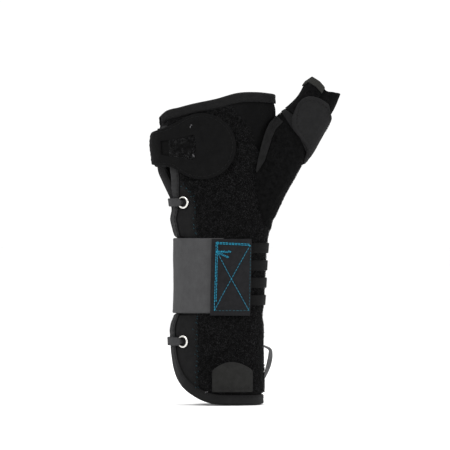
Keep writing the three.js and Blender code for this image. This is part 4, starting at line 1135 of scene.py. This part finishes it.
# Short pale threads at three spots
sew("pale_thread", "binding_tape", "pale_specks", on_wrap,
    [run((205.6, 391.8), (208.2, 391.2)), run((194.2, 155), (195.4, 157.4)),
     run((191.6, 128), (193.8, 124.8))],
    lambda u, v: np.where(v > 0, HAND_TAB_TOP, TAPE_TOP + 0.1),
    0.6, 1.2, 0.19, slant=0.8, jitter=0.15)
sew("black_thread", "strap_cloth", "hand_tab_stitches", on_wrap, [inner_line(hand_loop, hand_middle, 2.4)],
    HAND_TAB_TOP, 3.2, 2.4, 0.14)
sew("black_thread", "strap_cloth", "thumb_tab_stitches", on_thumb,
    [inner_line(thumb_loop, thumb_loop.mean(0), 3.0)], lambda u, v: tab_low(u, v) + STRAP,
    2.5, 1.9, 0.19)
hem = [[(POCKET_X + side * (POCKET_HALF - 2), POCKET_BOTTOM + up) for side in (-1, 1)] for up in (1.8, 3.2)]
sew("black_thread", "tab_webbing", "pocket_tab_stitches", on_wrap, [front_line(line) for line in hem],
    OVER_PILE + TAB, 2.6, 2.0, 0.15)
# Short pale threads at one spot on the sleeve
light_along = np.array([35.9, 33.6, 29.8])
light_path = pair(thumb_turn(light_along, np.array([-16.4, -15.2, -15.8])), light_along)
sew("pale_thread", "sleeve_cloth", "panel_pale_specks", on_thumb, [light_path], 0.9,
    2.1, 1.3, 0.16, slant=0.5, jitter=0.25)

# Floor in millimetres, lights and camera in metres
FLOOR_REACH, FLOOR_LEVEL = 30000, -88.5
floor = make("floor", [(x * FLOOR_REACH, y * FLOOR_REACH, FLOOR_LEVEL)
                       for x, y in ((-1, -1), (1, -1), (1, 1), (-1, 1))], [[(0, 1, 2, 3)]])
floor_mat = bpy.data.materials.new("floor")
floor_mat.use_nodes = True
wire(floor_mat.node_tree.nodes["Principled BSDF"], {"Base Color": (0.95, 0.95, 0.95, 1), "Roughness": 0.9})
floor.data.materials.append(floor_mat)

world = bpy.data.worlds.new("studio")
world.use_nodes = True
wire(world.node_tree.nodes["Background"], {"Color": (1, 1, 1, 1), "Strength": 1.06})
bpy.context.scene.world = world


def area_light(name, place, size, power):
    data = bpy.data.lights.new(name, "AREA")
    data.shape, data.size, data.energy = "DISK", size, power
    light = add_object(name, data)
    light.location = place
    light.rotation_euler = (Vector((0, 0, 0.03)) - Vector(place)).to_track_quat("-Z", "Y").to_euler()


area_light("key", (-0.9, -1.4, 1.3), 0.8, 26)
area_light("side", (1.6, -0.9, 0.5), 0.7, 14)
area_light("back", (0.4, 1.5, 1.4), 0.9, 16)

# The photo is 450 pixels wide, and its scale holds a little in front of the middle
DISTANCE, SCALE_AHEAD, PHOTO_WIDTH, SENSOR = 4.0, 0.012, 450 * PIXEL * 0.001, 36
camera_data = bpy.data.cameras.new("camera")
camera = add_object("camera", camera_data)
camera.location = (0.0041, -DISTANCE, 0.034)
camera.rotation_euler = (pi / 2, 0, 0)
camera_data.sensor_width = SENSOR
camera_data.lens = SENSOR * (DISTANCE - SCALE_AHEAD) / PHOTO_WIDTH
camera_data.clip_end = 100
bpy.context.scene.camera = camera
bpy.context.scene.view_settings.view_transform = "Standard"
